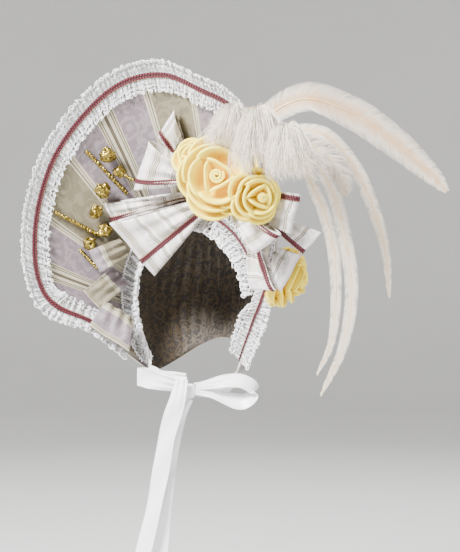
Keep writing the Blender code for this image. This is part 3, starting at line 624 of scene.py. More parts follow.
def lace_group():
    """Lace as a mask of thread: a net of small cells, blossoms of solid thread with a heart of
    holes, and a corded scallop along the border."""
    def build(tree, given):
        vector, border = given["Vector"], given["Border"]
        cell = node(tree, "TexVoronoi", {"Vector": vector, "Scale": given["Net"],
                                         "Randomness": 0.35}, feature="DISTANCE_TO_EDGE")
        thread = given["Thread"]
        net = within(tree, cell.outputs["Distance"], thread, times(tree, thread, 0.55))
        motif = node(tree, "TexVoronoi", {"Vector": vector, "Scale": given["Blossoms"],
                                          "Randomness": 0.5}, feature="F1")
        place = motif.outputs["Distance"]
        petals = noise(tree, vector, 330.0, 0.0)
        edge = scaled(tree, petals, 0.34, 0.22)
        solid = within(tree, sum_of(tree, "SUBTRACT", edge, place), -0.02, 0.03)
        heart = within(tree, place, 0.07, 0.11)
        cord = within(tree, apart(tree, place, 0.52), 0.06, 0.035)
        flowers = sum_of(tree, "MAXIMUM", times(tree, solid, heart), cord)
        parts = node(tree, "SeparateXYZ", {0: border})
        turn = times(tree, parts.outputs[0], sum_of(tree, "DIVIDE", math.pi, given["Scallop"]))
        round_edge = sum_of(tree, "ABSOLUTE", sum_of(tree, "SINE", turn))
        picot = sum_of(tree, "ABSOLUTE", sum_of(tree, "SINE", times(tree, turn, 4.0)))
        cut = scaled(tree, round_edge, -0.0026, 0.0030)
        cut = scaled(tree, picot, -0.0007, cut)
        inside = sum_of(tree, "SUBTRACT", parts.outputs[1], cut)
        kept = within(tree, inside, -0.0001, 0.0002)
        rim = within(tree, inside, 0.0022, 0.0016)
        eyelet = scaled(tree, round_edge, -0.004, apart(tree, inside, 0.0034))
        hole = within(tree, eyelet, -0.0022, -0.0015)
        body = times(tree, sum_of(tree, "MAXIMUM", net, flowers), hole)
        mask = times(tree, sum_of(tree, "MAXIMUM", body, rim), kept)
        height = sum_of(tree, "ADD", flowers, times(tree, rim, 0.8))
        return mask, height
    return group_of(
        "Lace thread",
        [("Vector", "Vector", None), ("Border", "Vector", None), ("Net", "Float", 620.0),
         ("Thread", "Float", 0.16), ("Blossoms", "Float", 90.0), ("Scallop", "Float", 0.011)],
        [("Mask", "Float"), ("Height", "Float")], build)


def surface(name, build, roughness=0.6, metallic=0.0, sheen=0.0, anisotropic=0.0, specular=0.5,
            subsurface=0.0, radius=(0.004, 0.003, 0.002)):
    """A material. build(tree, shader) puts the nodes in and gives the socket of its colour."""
    found = bpy.data.materials.get(name)
    if found:
        return found
    made = bpy.data.materials.new(name)
    made.use_nodes = True
    tree = made.node_tree
    shader = tree.nodes["Principled BSDF"]
    for label, value in (("Roughness", roughness), ("Metallic", metallic),
                         ("Sheen Weight", sheen), ("Anisotropic", anisotropic),
                         ("Specular IOR Level", specular), ("Subsurface Weight", subsurface),
                         ("Subsurface Radius", radius), ("Subsurface Scale", 1.0)):
        shader.inputs[label].default_value = value
    tree.links.new(build(tree, shader), shader.inputs["Base Color"])
    return made


def raise_by(tree, shader, height, distance, strength):
    """Fine relief: the height, as high as the distance in metres."""
    made = node(tree, "Bump", {"Height": height, "Distance": distance, "Strength": strength})
    tree.links.new(made.outputs[0], shader.inputs["Normal"])


def damask(name, grounds, figures, motifs=36.0):
    """Striped damask: the ground and the figure each have their colour at every place across a
    repeat, and the figure is the satin side of the same cloth."""
    def build(tree, shader):
        count = node(tree, "SeparateXYZ", {0: uv_map(tree, "stripes")}).outputs[0]
        nearest = sum_of(tree, "ROUND", count)
        place = apart(tree, count, nearest)
        ground = ramp(tree, place, grounds, "CONSTANT")
        figure = ramp(tree, place, figures, "CONSTANT")
        cloth = uv_map(tree, "cloth")
        mask = node(tree, "Group", {"Vector": cloth, "Motifs": motifs},
                    node_tree=figure_group()).outputs[0]
        weave = node(tree, "Group", {"Vector": cloth, "Threads": 210.0}, node_tree=weave_group())
        colour = blend_colours(tree, mask, ground, figure)
        shade = blend_colours(tree, 0.35, colour, weave.outputs["Shade"], "MULTIPLY")
        rough = scaled(tree, mask, -0.18, 0.62)
        tree.links.new(rough, shader.inputs["Roughness"])
        relief = scaled(tree, mask, 0.5, weave.outputs["Height"])
        height = scaled(tree, noise(tree, cloth, 38.0, 4.0), 5.0, relief)
        raise_by(tree, shader, height, 0.00022, 0.8)
        return shade
    return surface(name, build, sheen=0.2)


LILAC = (0.165, 0.130, 0.145)
LILAC_FIGURE = (0.225, 0.185, 0.20)
CREAM = (0.195, 0.168, 0.105)
CREAM_FIGURE = (0.15, 0.125, 0.075)
PALE_LINE = (0.45, 0.41, 0.30)
OLIVE_LINE = (0.085, 0.068, 0.035)
BROWN_LINE = (0.08, 0.06, 0.035)


def lining_cloth():
    """Wide lilac and cream panels with lines between them, in front of the brim."""
    grounds = [(0.0, CREAM), (0.155, PALE_LINE), (0.166, OLIVE_LINE), (0.172, PALE_LINE),
               (0.184, OLIVE_LINE), (0.190, PALE_LINE), (0.204, LILAC), (0.43, PALE_LINE),
               (0.440, OLIVE_LINE), (0.446, PALE_LINE), (0.457, OLIVE_LINE), (0.463, PALE_LINE),
               (0.488, BROWN_LINE)]
    figures = [(0.0, CREAM_FIGURE), *grounds[1:6], (0.204, LILAC_FIGURE), *grounds[7:]]
    return damask("Striped damask lining", grounds, figures)


def pale_cloth():
    """The white face of the cloth, on the cockade, with narrow stripes."""
    white, blush, shade = (0.78, 0.73, 0.71), (0.62, 0.53, 0.52), (0.58, 0.54, 0.54)
    olive, cream = (0.17, 0.15, 0.105), (0.56, 0.52, 0.43)
    grounds = [(0.0, cream), (0.09, white), (0.150, olive), (0.166, cream), (0.184, olive),
               (0.200, white), (0.300, shade), (0.315, white), (0.40, blush), (0.425, white),
               (0.445, olive), (0.460, cream), (0.478, olive), (0.490, cream)]
    figures = [(0.0, shade), (0.09, white), *grounds[2:5], (0.200, shade), *grounds[6:]]
    return damask("Pale striped damask", grounds, figures, 55.0)


def dark_cloth():
    """Brown brocade with an ochre figure, inside the crown."""
    brown, ochre = (0.016, 0.010, 0.006), (0.060, 0.038, 0.015)
    return damask("Brown brocade lining", [(0.0, brown), (0.5, brown)],
                  [(0.0, ochre), (0.5, ochre)], 85.0)


def plain_cloth():
    """The plain cover behind the brim."""
    def build(tree, shader):
        cloth = uv_map(tree, "cloth")
        weave = node(tree, "Group", {"Vector": cloth, "Threads": 160.0}, node_tree=weave_group())
        raise_by(tree, shader, weave.outputs["Height"], 0.0002, 0.7)
        return blend_colours(tree, 0.5, (0.66, 0.60, 0.50), weave.outputs["Shade"], "MULTIPLY")
    return surface("Plain cover cloth", build, roughness=0.75, sheen=0.2)


def lace(name, net, thread, blossoms, scallop, colour):
    """White cotton lace: see-through between its threads, and greyer deep in its folds, a painted
    shade.
    """
    def build(tree, shader):
        cloth = uv_map(tree, "cloth")
        pattern = node(tree, "Group", {
            "Vector": cloth, "Border": uv_map(tree, "stripes"), "Net": net, "Thread": thread,
            "Blossoms": blossoms, "Scallop": scallop}, node_tree=lace_group())
        spots = noise(tree, cloth, 500.0)
        tree.links.new(pattern.outputs["Mask"], shader.inputs["Alpha"])
        height = scaled(tree, spots, 0.4, pattern.outputs["Height"])
        raise_by(tree, shader, height, 0.0006, 0.9)
        # The tone is low deep in the folds: painted shade, made uneven by noise spots
        deep = scaled(tree, spots, 0.5, sum_of(tree, "SUBTRACT", tone_of(tree), 0.25))
        return ramp(tree, deep, [(0.12, tinted(colour, 0.24)), (0.66, colour)])
    return surface(name, build, roughness=0.85, sheen=0.3)


def lace_cord(colour):
    """The thick thread that edges the lace."""
    def build(tree, shader):
        spots = noise(tree, object_place(tree), 1500.0)
        raise_by(tree, shader, spots, 0.0002, 0.6)
        return ramp(tree, spots, [(0.3, tinted(colour, 0.9)), (0.6, colour)])
    return surface("Lace cord", build, roughness=0.8, sheen=0.3)


def braid_material(settings):
    """Silk plait: painted shade between its stitches, a painted highlight on them, and a dotted
    pale line on one side.
    """
    def build(tree, shader):
        cloth = uv_map(tree, "cloth")
        parts = node(tree, "SeparateXYZ", {0: cloth})
        along, over = parts.outputs[0], parts.outputs[1]
        rose = tuple(settings.colour)
        # Low tone between the stitches is painted shade, high tone on their tops a painted
        # highlight
        colour = ramp(tree, tone_of(tree), [(0.05, tinted(rose, 0.3)), (0.5, rose),
                                            (0.95, tinted(rose, 2.6, 0.012))])
        waves = sum_of(tree, "SINE", times(tree, along, 1900.0))
        pale = times(tree, within(tree, waves, -0.5, 0.3), within(tree, over, 0.16, 0.10))
        threads = noise(tree, stretched(tree, cloth, (5000.0, 12.0, 1.0)), 1.0)
        raise_by(tree, shader, threads, 0.0001, 0.6)
        return blend_colours(tree, pale, colour, settings.line_colour)
    return surface("Rose braid", build, roughness=0.5, sheen=0.1, specular=0.3)


def foam(settings):
    """Foam petals, with fine pores: hollows are deep yellow in painted shade and rims pale in
    painted light.
    """
    def build(tree, shader):
        where = object_place(tree)
        cloud = noise(tree, where, 55.0, 3.0)
        height = scaled(tree, cloud, 3.0, noise(tree, where, 1800.0))
        raise_by(tree, shader, height, 0.0002, 0.6)
        # Low tone is painted shade in the hollows and high tone painted light on the rims, over the
        # foam's yellow
        mixed = scaled(tree, cloud, 0.2, sum_of(tree, "SUBTRACT", tone_of(tree), 0.1))
        deep, pale = tuple(settings.deep_colour), tuple(settings.pale_colour)
        return ramp(tree, mixed, [(0.0, tinted(deep, 0.85)), (0.25, deep),
                                  (0.6, midway(deep, pale)), (0.9, pale)])
    return surface("Yellow foam", build, roughness=0.6, specular=0.2, subsurface=0.03,
                   radius=(0.003, 0.0026, 0.0008))


def gold_foil(settings):
    """Crumpled gilt foil: facets of noise, and noise patches painted dark as shade and bright as
    glints, rougher where bright.
    """
    def build(tree, shader):
        where = object_place(tree)
        facets = node(tree, "TexVoronoi", {"Vector": where, "Scale": 420.0}, feature="F1")
        grain_and_painted_light = noise(tree, where, 300.0, 4.0)
        rough = within(tree, grain_and_painted_light, 0.2, 0.9)
        tree.links.new(scaled(tree, rough, 0.3, 0.2), shader.inputs["Roughness"])
        raise_by(tree, shader, sum_of(tree, "ADD", facets.outputs["Distance"], grain_and_painted_light), 0.0008, 0.8)
        colour = tuple(settings.colour)
        # Dark noise patches are painted shade and bright ones painted glints, placed by noise and
        # not by the creases
        return ramp(tree, grain_and_painted_light, [(0.3, tinted(colour, 0.2)), (0.5, colour),
                                  (0.75, tinted(colour, 1.25, 0.08))])
    return surface("Crumpled gold", build, metallic=1.0)


def feather(name, pale, peach):
    """Feather barbs: tone says how much peach a barb carries, and it fades toward its tip. A low
    tone turns grey: painted shade on the vanes, and darker strands at random in the fluff.
    """
    def build(tree, shader):
        streaks = noise(tree, object_place(tree), 90.0, 4.0)
        mixed = scaled(tree, streaks, 0.36, tone_of(tree))
        return ramp(tree, mixed, [(0.0, tinted(pale, 0.36)), (0.30, pale),
                                  (0.60, midway(pale, peach)), (1.0, peach)])
    return surface(name, build, roughness=0.6, sheen=0.3, subsurface=0.2)


def quill_material():
    """A plume's quill, horn of two tones."""
    def build(tree, shader):
        cloud = noise(tree, object_place(tree), 60.0)
        return ramp(tree, cloud, [(0.3, (0.72, 0.50, 0.26)), (0.7, (0.88, 0.74, 0.48))])
    return surface("Feather quill", build, roughness=0.4)


def satin(settings):
    """Satin ribbon: fine threads run lengthwise, and the selvedges are a little denser."""
    def build(tree, shader):
        cloth = uv_map(tree, "cloth")
        threads = noise(tree, stretched(tree, cloth, (30.0, 1400.0, 1.0)), 1.0, 3.0)
        over = node(tree, "SeparateXYZ", {0: cloth}).outputs[1]
        selvedge = within(tree, sum_of(tree, "ABSOLUTE", over), 0.0108, 0.0116)
        raise_by(tree, shader, sum_of(tree, "ADD", threads, selvedge), 0.00025, 0.7)
        colour = tuple(settings.colour)
        shade = ramp(tree, threads, [(0.3, tinted(colour, 0.88)), (0.65, colour)])
        return blend_colours(tree, times(tree, selvedge, 0.5), shade, tinted(colour, 0.8))
    return surface("White satin", build, roughness=0.32, anisotropic=0.4, sheen=0.1)


# Sizes and colours that a user would change

def colour_property(name, description, default):
    """A colour that a user can change."""
    return FloatVectorProperty(name=name, description=description, subtype="COLOR", size=3,
                               min=0.0, max=1.0, default=default)


def count_property(name, description, default, least):
    """A whole number that a user can change."""
    return IntProperty(name=name, description=description, default=default, min=least)


def length_property(name, description, default, least, most):
    """A length in metres that a user can change."""
    return FloatProperty(name=name, description=description, default=default, min=least, max=most,
                         precision=5, unit="LENGTH")


class LiningSettings(bpy.types.PropertyGroup):
    columns: count_property("Columns", "Points along the brim's rim", 288, 64)
    crown_gathers: count_property("Crown gathers", "Soft folds round the crown", 46, 8)
    gather_depth: length_property("Gather depth", "How deep the crown's folds are", 0.0022, 0,
                                  0.006)


class LaceSettings(bpy.types.PropertyGroup):
    gathers: count_property("Gathers", "Folds of the rim's lace", 128, 8)
    height: length_property("Ruffle height", "How far the rim's folds stand up", 0.0056, 0, 0.01)
    face_gathers: count_property("Face gathers", "Folds of the face lace", 66, 8)
    face_height: length_property("Face ruffle height", "How far the face lace's folds stand up",
                                 0.0062, 0, 0.01)
    colour: colour_property("Colour", "Lace cotton", (0.92, 0.91, 0.92))


class BraidSettings(bpy.types.PropertyGroup):
    pitch: length_property("Pitch", "Length of one stitch of the plait", 0.0042, 0.001, 0.02)
    colour: colour_property("Colour", "Rose silk", (0.085, 0.005, 0.012))
    line_colour: colour_property("Line colour", "Dotted line beside it", (0.42, 0.30, 0.16))


class RoseSettings(bpy.types.PropertyGroup):
    petal_thickness: length_property("Petal thickness", "Foam sheet of a petal", 0.0034, 0.0005,
                                     0.006)
    # The deep colour is the foam's yellow in painted shade, the pale one in painted light
    deep_colour: colour_property("Deep colour", "In the hollows", (0.93, 0.61, 0.012))
    pale_colour: colour_property("Pale colour", "On the rims", (0.98, 0.81, 0.09))


class GoldSettings(bpy.types.PropertyGroup):
    crumple: FloatProperty(name="Crumple", description="Depth of the creases, as a share",
                           default=0.3, min=0.0, max=0.6)
    colour: colour_property("Colour", "Gilt foil", (0.32, 0.235, 0.045))


class FeatherSettings(bpy.types.PropertyGroup):
    barb_spacing: length_property("Barb spacing", "Distance between two barbs", 0.00062, 0.0002,
                                  0.01)
    strands: count_property("Strands", "Strands in each wisp of fluff", 12, 2)
    pale_colour: colour_property("Pale colour", "Barb tips", (0.82, 0.74, 0.63))
    fluff_colour: colour_property("Fluff colour", "Strands and hairs", (0.98, 0.89, 0.74))
    peach_colour: colour_property("Peach colour", "Beside the quill", (0.70, 0.40, 0.19))


class RibbonSettings(bpy.types.PropertyGroup):
    colour: colour_property("Colour", "Satin", (0.96, 0.95, 0.97))


class StageSettings(bpy.types.PropertyGroup):
    floor_height: length_property("Floor height", "Height of the floor", -0.62, -10, 10)
    light: FloatProperty(name="Light", description="Strength of the soft lights", default=1.0,
                         min=0.0)
    floor_colour: colour_property("Floor colour", "Floor and surroundings", (0.58, 0.575, 0.565))


class StageMaker(bpy.types.Operator):
    """Floor, soft lights, and the camera at the photograph's place"""
    bl_idname = "bonnet.stage"
    bl_label = "Stage"

    def execute(self, context):
        settings = context.scene.bonnet_stage
        camera_data = bpy.data.cameras.new("Camera")
        camera_data.lens = CAMERA_LENS
        camera_data.sensor_fit = "VERTICAL"
        camera_data.sensor_height = 36
        camera_data.clip_end = 50
        camera = bpy.data.objects.new("Camera", camera_data)
        camera.location = ACROSS * CAMERA_ACROSS + UP * CAMERA_UP + TOWARD * CAMERA_DISTANCE
        camera.rotation_euler = (math.radians(90), 0, TRIM_TURN)
        context.scene.collection.objects.link(camera)
        context.scene.camera = camera
        reach, rise = np.array(BACKDROP).T[..., None]
        floor_points = turned(reach, full_turn(48)[None, :], settings.floor_height + rise)

        def build(tree, shader):
            pale = tuple(settings.floor_colour)
            cloud = noise(tree, object_place(tree), 2.0, 4.0)
            return ramp(tree, cloud, [(0.3, tinted(pale, 0.97)), (0.7, pale)])
        floor = make_mesh("backdrop", [Patch(floor_points, around=True)],
                          [surface("Pale backdrop", build, roughness=0.9)])
        world = bpy.data.worlds.new("Pale room")
        world.use_nodes = True
        sky = world.node_tree.nodes["Background"]
        sky.inputs["Color"].default_value = (0.93, 0.93, 0.94, 1)
        sky.inputs["Strength"].default_value = 0.42 * settings.light
        context.scene.world = world
        for name, across, up, toward, size, watts in LIGHTS:
            place = Vector(ACROSS * across + UP * up + TOWARD * toward)
            lamp_data = bpy.data.lights.new(name, "AREA")
            lamp_data.size = size
            lamp_data.energy = watts * settings.light
            lamp = bpy.data.objects.new(name, lamp_data)
            lamp.location = place
            lamp.rotation_euler = (-place).to_track_quat("-Z", "Y").to_euler()
            context.scene.collection.objects.link(lamp)
        return {"FINISHED"}


def stations(places):
    """Face edge and rim at places along the brim, negative on the wearer's right."""
    table = BRIM_STATIONS
    right = np.stack([-table[:, 1], table[:, 2], -table[:, 3], -table[:, 4], table[:, 5]], 1)
    left = np.stack([table[:, 1], table[:, 2], table[:, 6], -table[:, 7], table[:, 8]], 1)
    both = np.vstack([right[:0:-1], left])
    along = np.concatenate([-table[:0:-1, 0], table[:, 0]])
    values = smooth_between(places, along, both) * MM
    face = np.stack([values[:, 0], np.full(len(places), FACE_PLANE), values[:, 1]], 1)
    return face, values[:, 2:]


def lining(places, rows):
    """The lining: straight lines from the face edge to the rim, bowed outward a little."""
    face, rim = stations(places)
    row = rows[None, :, None]
    grid = face[:, None] * (1 - row) + rim[:, None] * row
    length = np.linalg.norm(rim - face, axis=1)[:, None, None]
    return grid - side_of(grid) * 4 * row * (1 - row) * BRIM_BULGE * np.minimum(length / 0.1, 1)


def on_lining(place, row, height):
    """A point over the lining at a place along the rim and a row, 0 at the face edge."""
    near = lining(np.linspace(place - 0.02, place + 0.02, 5),
                  np.linspace(row - 0.04, row + 0.04, 5))
    return near[2, 2] + height * side_of(near)[2, 2]


def stripes_at(places):
    """How many repeats of the cloth lie before each place along the rim."""
    return smooth_between(places, STRIPE_PLACES[:, 0], STRIPE_PLACES[:, 1:])[:, 0]


class BrimMaker(bpy.types.Operator):
    """The funnel brim: striped damask in front, plain cover behind"""
    bl_idname = "bonnet.brim"
    bl_label = "Brim"

    def execute(self, context):
        places = np.linspace(-1, 1, context.scene.bonnet_lining.columns + 1)
        grid = lining(places, np.linspace(0, 1, BRIM_ROWS))
        depth = arc_across(grid)
        patch = Patch(grid, pairs(arc(grid[:, BRIM_MEASURED_ROW])[:, None], depth),
                      pairs(stripes_at(places)[:, None], depth))
        brim = make_piece("brim_cloth", [patch], [lining_cloth(), plain_cloth()], "brim")
        wall(brim, BRIM_WALL, inside=1, rim=1)
        return {"FINISHED"}


class CrownMaker(bpy.types.Operator):
    """The gathered crown, with a rolled hem round the nape"""
    bl_idname = "bonnet.crown"
    bl_label = "Crown"

    def execute(self, context):
        settings = context.scene.bonnet_lining
        table = BRIM_STATIONS
        places = np.linspace(0, 1, 61)[1:]
        values = smooth_between(places, table[:, 0], table[:, [1, 2, 9]]) * MM
        half, up, depth = values[:, 0:1], values[:, 1:2], values[:, 2:3]
        top = table[0, 2] * MM
        turn = np.linspace(0, math.pi, CROWN_COLUMNS)[None, :]
        rise = 1 - NAPE_LIFT * np.sin(turn) ** 2
        share = places[:, None]
        folds = np.cos(turn * settings.crown_gathers + 2.2 * np.sin(3 * turn + 4 * share))
        swell = np.sin(turn) ** 0.5 * np.sin(math.pi * np.clip(share * 1.05, 0, 1)) ** 0.5
        hem = np.exp(-((share - 0.975) / 0.02) ** 2) - 0.7 * np.exp(-((share - 0.93) / 0.02) ** 2)
        deep = 1 - settings.gather_depth * swell * (0.5 - 0.5 * folds) / 0.09 + 0.012 * hem
        x = half * np.cos(turn) * (deep * 0.5 + 0.5)
        y = CROWN_FRONT + depth * np.sin(turn) * deep
        z = top + (up - top) * rise
        grid = np.stack([x, y, z], -1)
        apex = np.broadcast_to([0, CROWN_FRONT, top], (1, CROWN_COLUMNS, 3))
        grid = np.concatenate([apex, grid])
        across, down = arc(grid[-20]), arc(grid)
        patch = Patch(grid, pairs(across, down), pairs(across * 6.5 + 0.25, down))
        crown = make_piece("crown_cloth", [patch], [dark_cloth(), lining_cloth()],
                           "crown")
        weld = crown.modifiers.new("Close the top", "WELD")
        weld.merge_threshold = 0.00001
        wall(crown, CROWN_WALL, offset=1, inside=1, rim=1)
        flip_if_inward(crown, grid)
        return {"FINISHED"}


def flip_if_inward(crown, grid):
    """Makes sure that the brown side of the crown looks at its hollow."""
    middle = np.array([0, 0.03, -0.1])
    row, column = grid.shape[0] // 2, grid.shape[1] // 2
    if side_of(grid)[row, column] @ (grid[row, column] - middle) > 0:
        crown.data.flip_normals()


def face_centre_from(edge):
    """Unit directions from an edge to the middle of the face opening, a little in front of it."""
    return unit(np.array([0, FACE_PLANE - FACE_LACE_LEAN, FACE_CENTRE_UP]) - edge)


def border_cord(border, off, high, pitch, reach, radius):
    """A corded border: a thread that loops outward along the edge of a ruffle."""
    length = arc(border)[-1]
    steps = int(length / pitch * 8)
    index = np.linspace(0, len(border) - 1, steps)
    line, out, lift = (read_lines(values, index) for values in (border, off, high))
    turn = np.linspace(0, 2 * math.pi * length / pitch, steps)[:, None]
    along = heading(line)
    uneven = 0.75 + 0.35 * np.sin(turn * 0.37) + 0.25 * np.sin(turn * 0.173 + 1)
    turn = turn + 0.8 * np.sin(turn * 0.21)
    path = line + uneven * reach * (out * (0.2 - np.cos(turn)) - along * 0.85 * np.sin(turn))
    path = path + lift * 0.0003 * np.sin(turn * 0.5)
    return tube_patch(path, radius, sides=4)


def ruffle(rng, places, count):
    """Gathers of uneven size. Gives their turn along the ruffle, how far each one slants toward
    the border, and how tall it is."""
    sway = soft_noise(rng, places, 9) * 0.9 + soft_noise(rng, places, 60) * 0.8
    turn = math.pi * count * places + sway * 2
    slant = 2.6 * soft_noise(rng, places, 34)
    tall = 0.72 + 0.28 * soft_noise(rng, places, 41)
    return turn[:, None], slant[:, None], tall[:, None]


def gather(turn, slant, share):
    """The gathers at a share of the way to the border: each is a wave, and its turn drifts by the
    slant. Gives how deep the fold is, from 0 to 1, and which way it swings."""
    angle = turn + slant * share
    return 0.5 - 0.5 * np.cos(angle), np.sin(angle)


def lace_patch(grid, seam, distances, depth, darkest):
    """The ruffle with its place on the flat net, which is measured along the given row and across
    the gathers, its distance from the border, and a tone that is darkest deep in the folds, for
    painted shade there."""
    along = arc(grid[:, seam])[:, None]
    return Patch(grid, pairs(along, arc_across(grid)), pairs(along, np.array(distances)),
                 darkest + (1 - darkest) * np.stack(depth, 1))


def braid_patch(near, far, high, pitch, thick=BRAID_THICK):
    """A plait between two lines: two rows of fat stitches that slant to the middle, with a
    knobbly outline."""
    length = arc((near + far) / 2)[-1]
    steps = int(length / pitch * 6) + 2
    near, far = evenly(near, steps), evenly(far, steps)
    high = unit(read_lines(high, np.linspace(0, len(high) - 1, steps)))
    over = np.array([0, 0.001, 0.08, 0.18, 0.28, 0.38, 0.46, 0.5, 0.54, 0.62, 0.72, 0.82, 0.92,
                     0.999, 1])
    along = np.linspace(0, length, steps)[:, None]
    half_step = np.where(over > 0.5, 0.5, 0.0)
    stitch = abs(np.cos(math.pi * (along / pitch + half_step - 1.1 * abs(over - 0.5)))) ** 1.1
    fat = np.sin(math.pi * np.clip(2 * abs(over - 0.5), 0, 1)) ** 0.6
    bead = stitch * fat
    height = thick * (0.2 + 1.0 * bead)
    height[:, [0, -1]] = 0
    spread = over + (over - 0.5) * 0.22 * (stitch - 0.5)
    grid = near[:, None] + (far - near)[:, None] * spread[..., None]
    grid = grid + high[:, None] * height[..., None]
    # The tone is the stitch's height, for painted shade between stitches and a painted highlight on
    # top
    return Patch(grid, pairs(along, over), tone=bead ** 2)


def make_braid(name, node_name, patch, settings):
    """The plait as a piece, with its faces turned to the side that it rises to."""
    braid = make_piece(name, [patch], [braid_material(settings)], node_name)
    grid = patch.points[0]
    middle = grid.shape[1] // 2
    rise = grid[:, middle] - (grid[:, 0] + grid[:, -1]) / 2
    if (side_of(grid)[:, middle] * rise).sum() < 0:
        braid.data.flip_normals()


def ramp_between(places, span):
    """0 up to the first place of the span, 1 from the second one on, and straight between them."""
    return np.clip((places[:, None] - span[0]) / (span[1] - span[0]), 0, 1)


def rim_frame(places):
    """Where the edge lace is sewn: the rim, the way along it, the way off it, the way to the
    visible side, how long the cloth is there, and how far the lace has turned beside the cheek."""
    cloth = lining(places, np.linspace(0, 1, 4))
    face, inner, edge = cloth[:, 0], cloth[:, 2], cloth[:, 3]
    cheek, corner = ramp_between(places, CHEEK), ramp_between(places, CORNER)
    off = unit(unit(edge - inner) * (1 - cheek) - face_centre_from(edge) * cheek)
    along = heading(edge)
    off = unit(off * (1 - corner) + np.cross(unit(side_of(cloth)[:, 1]), along) * corner)
    side = unit(np.cross(along, off))
    edge = edge + side * CORNER_LIFT * corner
    return edge, along, off, side, np.linalg.norm(edge - face, axis=1, keepdims=True), cheek


class EdgeTrimMaker(bpy.types.Operator):
    """The gathered lace round the rim, and the rose braid along its middle"""
    bl_idname = "bonnet.edge_trim"
    bl_label = "Edge lace and braid"

    def execute(self, context):
        settings = context.scene.bonnet_lace
        rng = np.random.default_rng(3)
        places = np.linspace(-1 + TRIM_END, 1 - TRIM_END, EDGE_LACE_COLUMNS)
        edge, along, off, side, length, cheek = rim_frame(places)
        braid = np.minimum(EDGE_BRAID_WIDTH, 0.14 * length)
        inside = np.minimum(EDGE_LACE_INSIDE, 0.34 * length)
        inside = inside + (EDGE_LACE_INSIDE - inside) * cheek
        turn, slant, tall = ruffle(rng, places, settings.gathers)
        inner_turn, inner_slant, inner_tall = ruffle(rng, places, settings.gathers * 1.1)
        flat = edge + side * (LACE_SEAT + LACE_THICK / 2)
        wide = 0.5 + 0.5 * soft_noise(rng, places, 60)[:, None]
        rows, distances, depth = [], [], []
        # Inward from the braid, from the inner border to the seam
        for share in np.linspace(1, 0, 8):
            fold, swing = gather(inner_turn, inner_slant, share)
            out = inside * share * (1 - (0.06 * wide + 0.14 * (1 - fold)) * share)
            lift = share ** 0.8 * settings.height * inner_tall * (0.15 + 0.85 * fold)
            sway = along * swing * 0.0026 * share
            depth.append(fold[:, 0])
            rows.append(flat - off * (braid + BRAID_MARGIN * (1 - share) + out)
                        + side * lift * inside / EDGE_LACE_INSIDE + sway)
            distances.append((1 - share) * EDGE_LACE_INSIDE)
        # Outward from the rim, from the seam to the outer border
        for share in np.linspace(0, 1, 9):
            fold, swing = gather(turn, slant, share)
            out = EDGE_LACE_OUTSIDE * share * (1.03 - (0.07 * wide + 0.16 * (1 - fold)) * share)
            lift = share ** 0.8 * settings.height * 1.15 * tall * fold
            sway = along * swing * 0.0030 * share
            depth.append(fold[:, 0])
            rows.append(flat + off * (BRAID_MARGIN * (1 - share) + out) + side * lift + sway)
            distances.append((1 - share) * EDGE_LACE_OUTSIDE)
        grid = np.stack(rows, 1)
        colour = tuple(settings.colour)
        material = lace("Gathered white lace", net=340.0, thread=0.19, blossoms=105.0,
                        scallop=0.0105, colour=colour)
        # Tone 0.2 deep in the folds is painted shade
        ruffled = make_piece("edge_lace_ruffle", [lace_patch(grid, -4, distances, depth, 0.2)],
                             [material], "edge_lace")
        cords = [border_cord(grid[:, row], way * off, side, pitch, reach, radius)
                 for row, way, pitch, reach, radius in EDGE_CORDS]
        make_piece("edge_lace_cord", cords, [lace_cord(colour)], "edge_lace")
        over = edge + side * (LACE_SEAT + LACE_THICK + BRAID_SEAT)
        braids = context.scene.bonnet_braid
        near, far, high = (line[::BRAID_STEP] for line in (over - off * braid, over, side))
        patch = braid_patch(near, far, high, braids.pitch)
        make_braid("edge_rose_braid", "edge_braid", patch, braids)
        return {"FINISHED"}


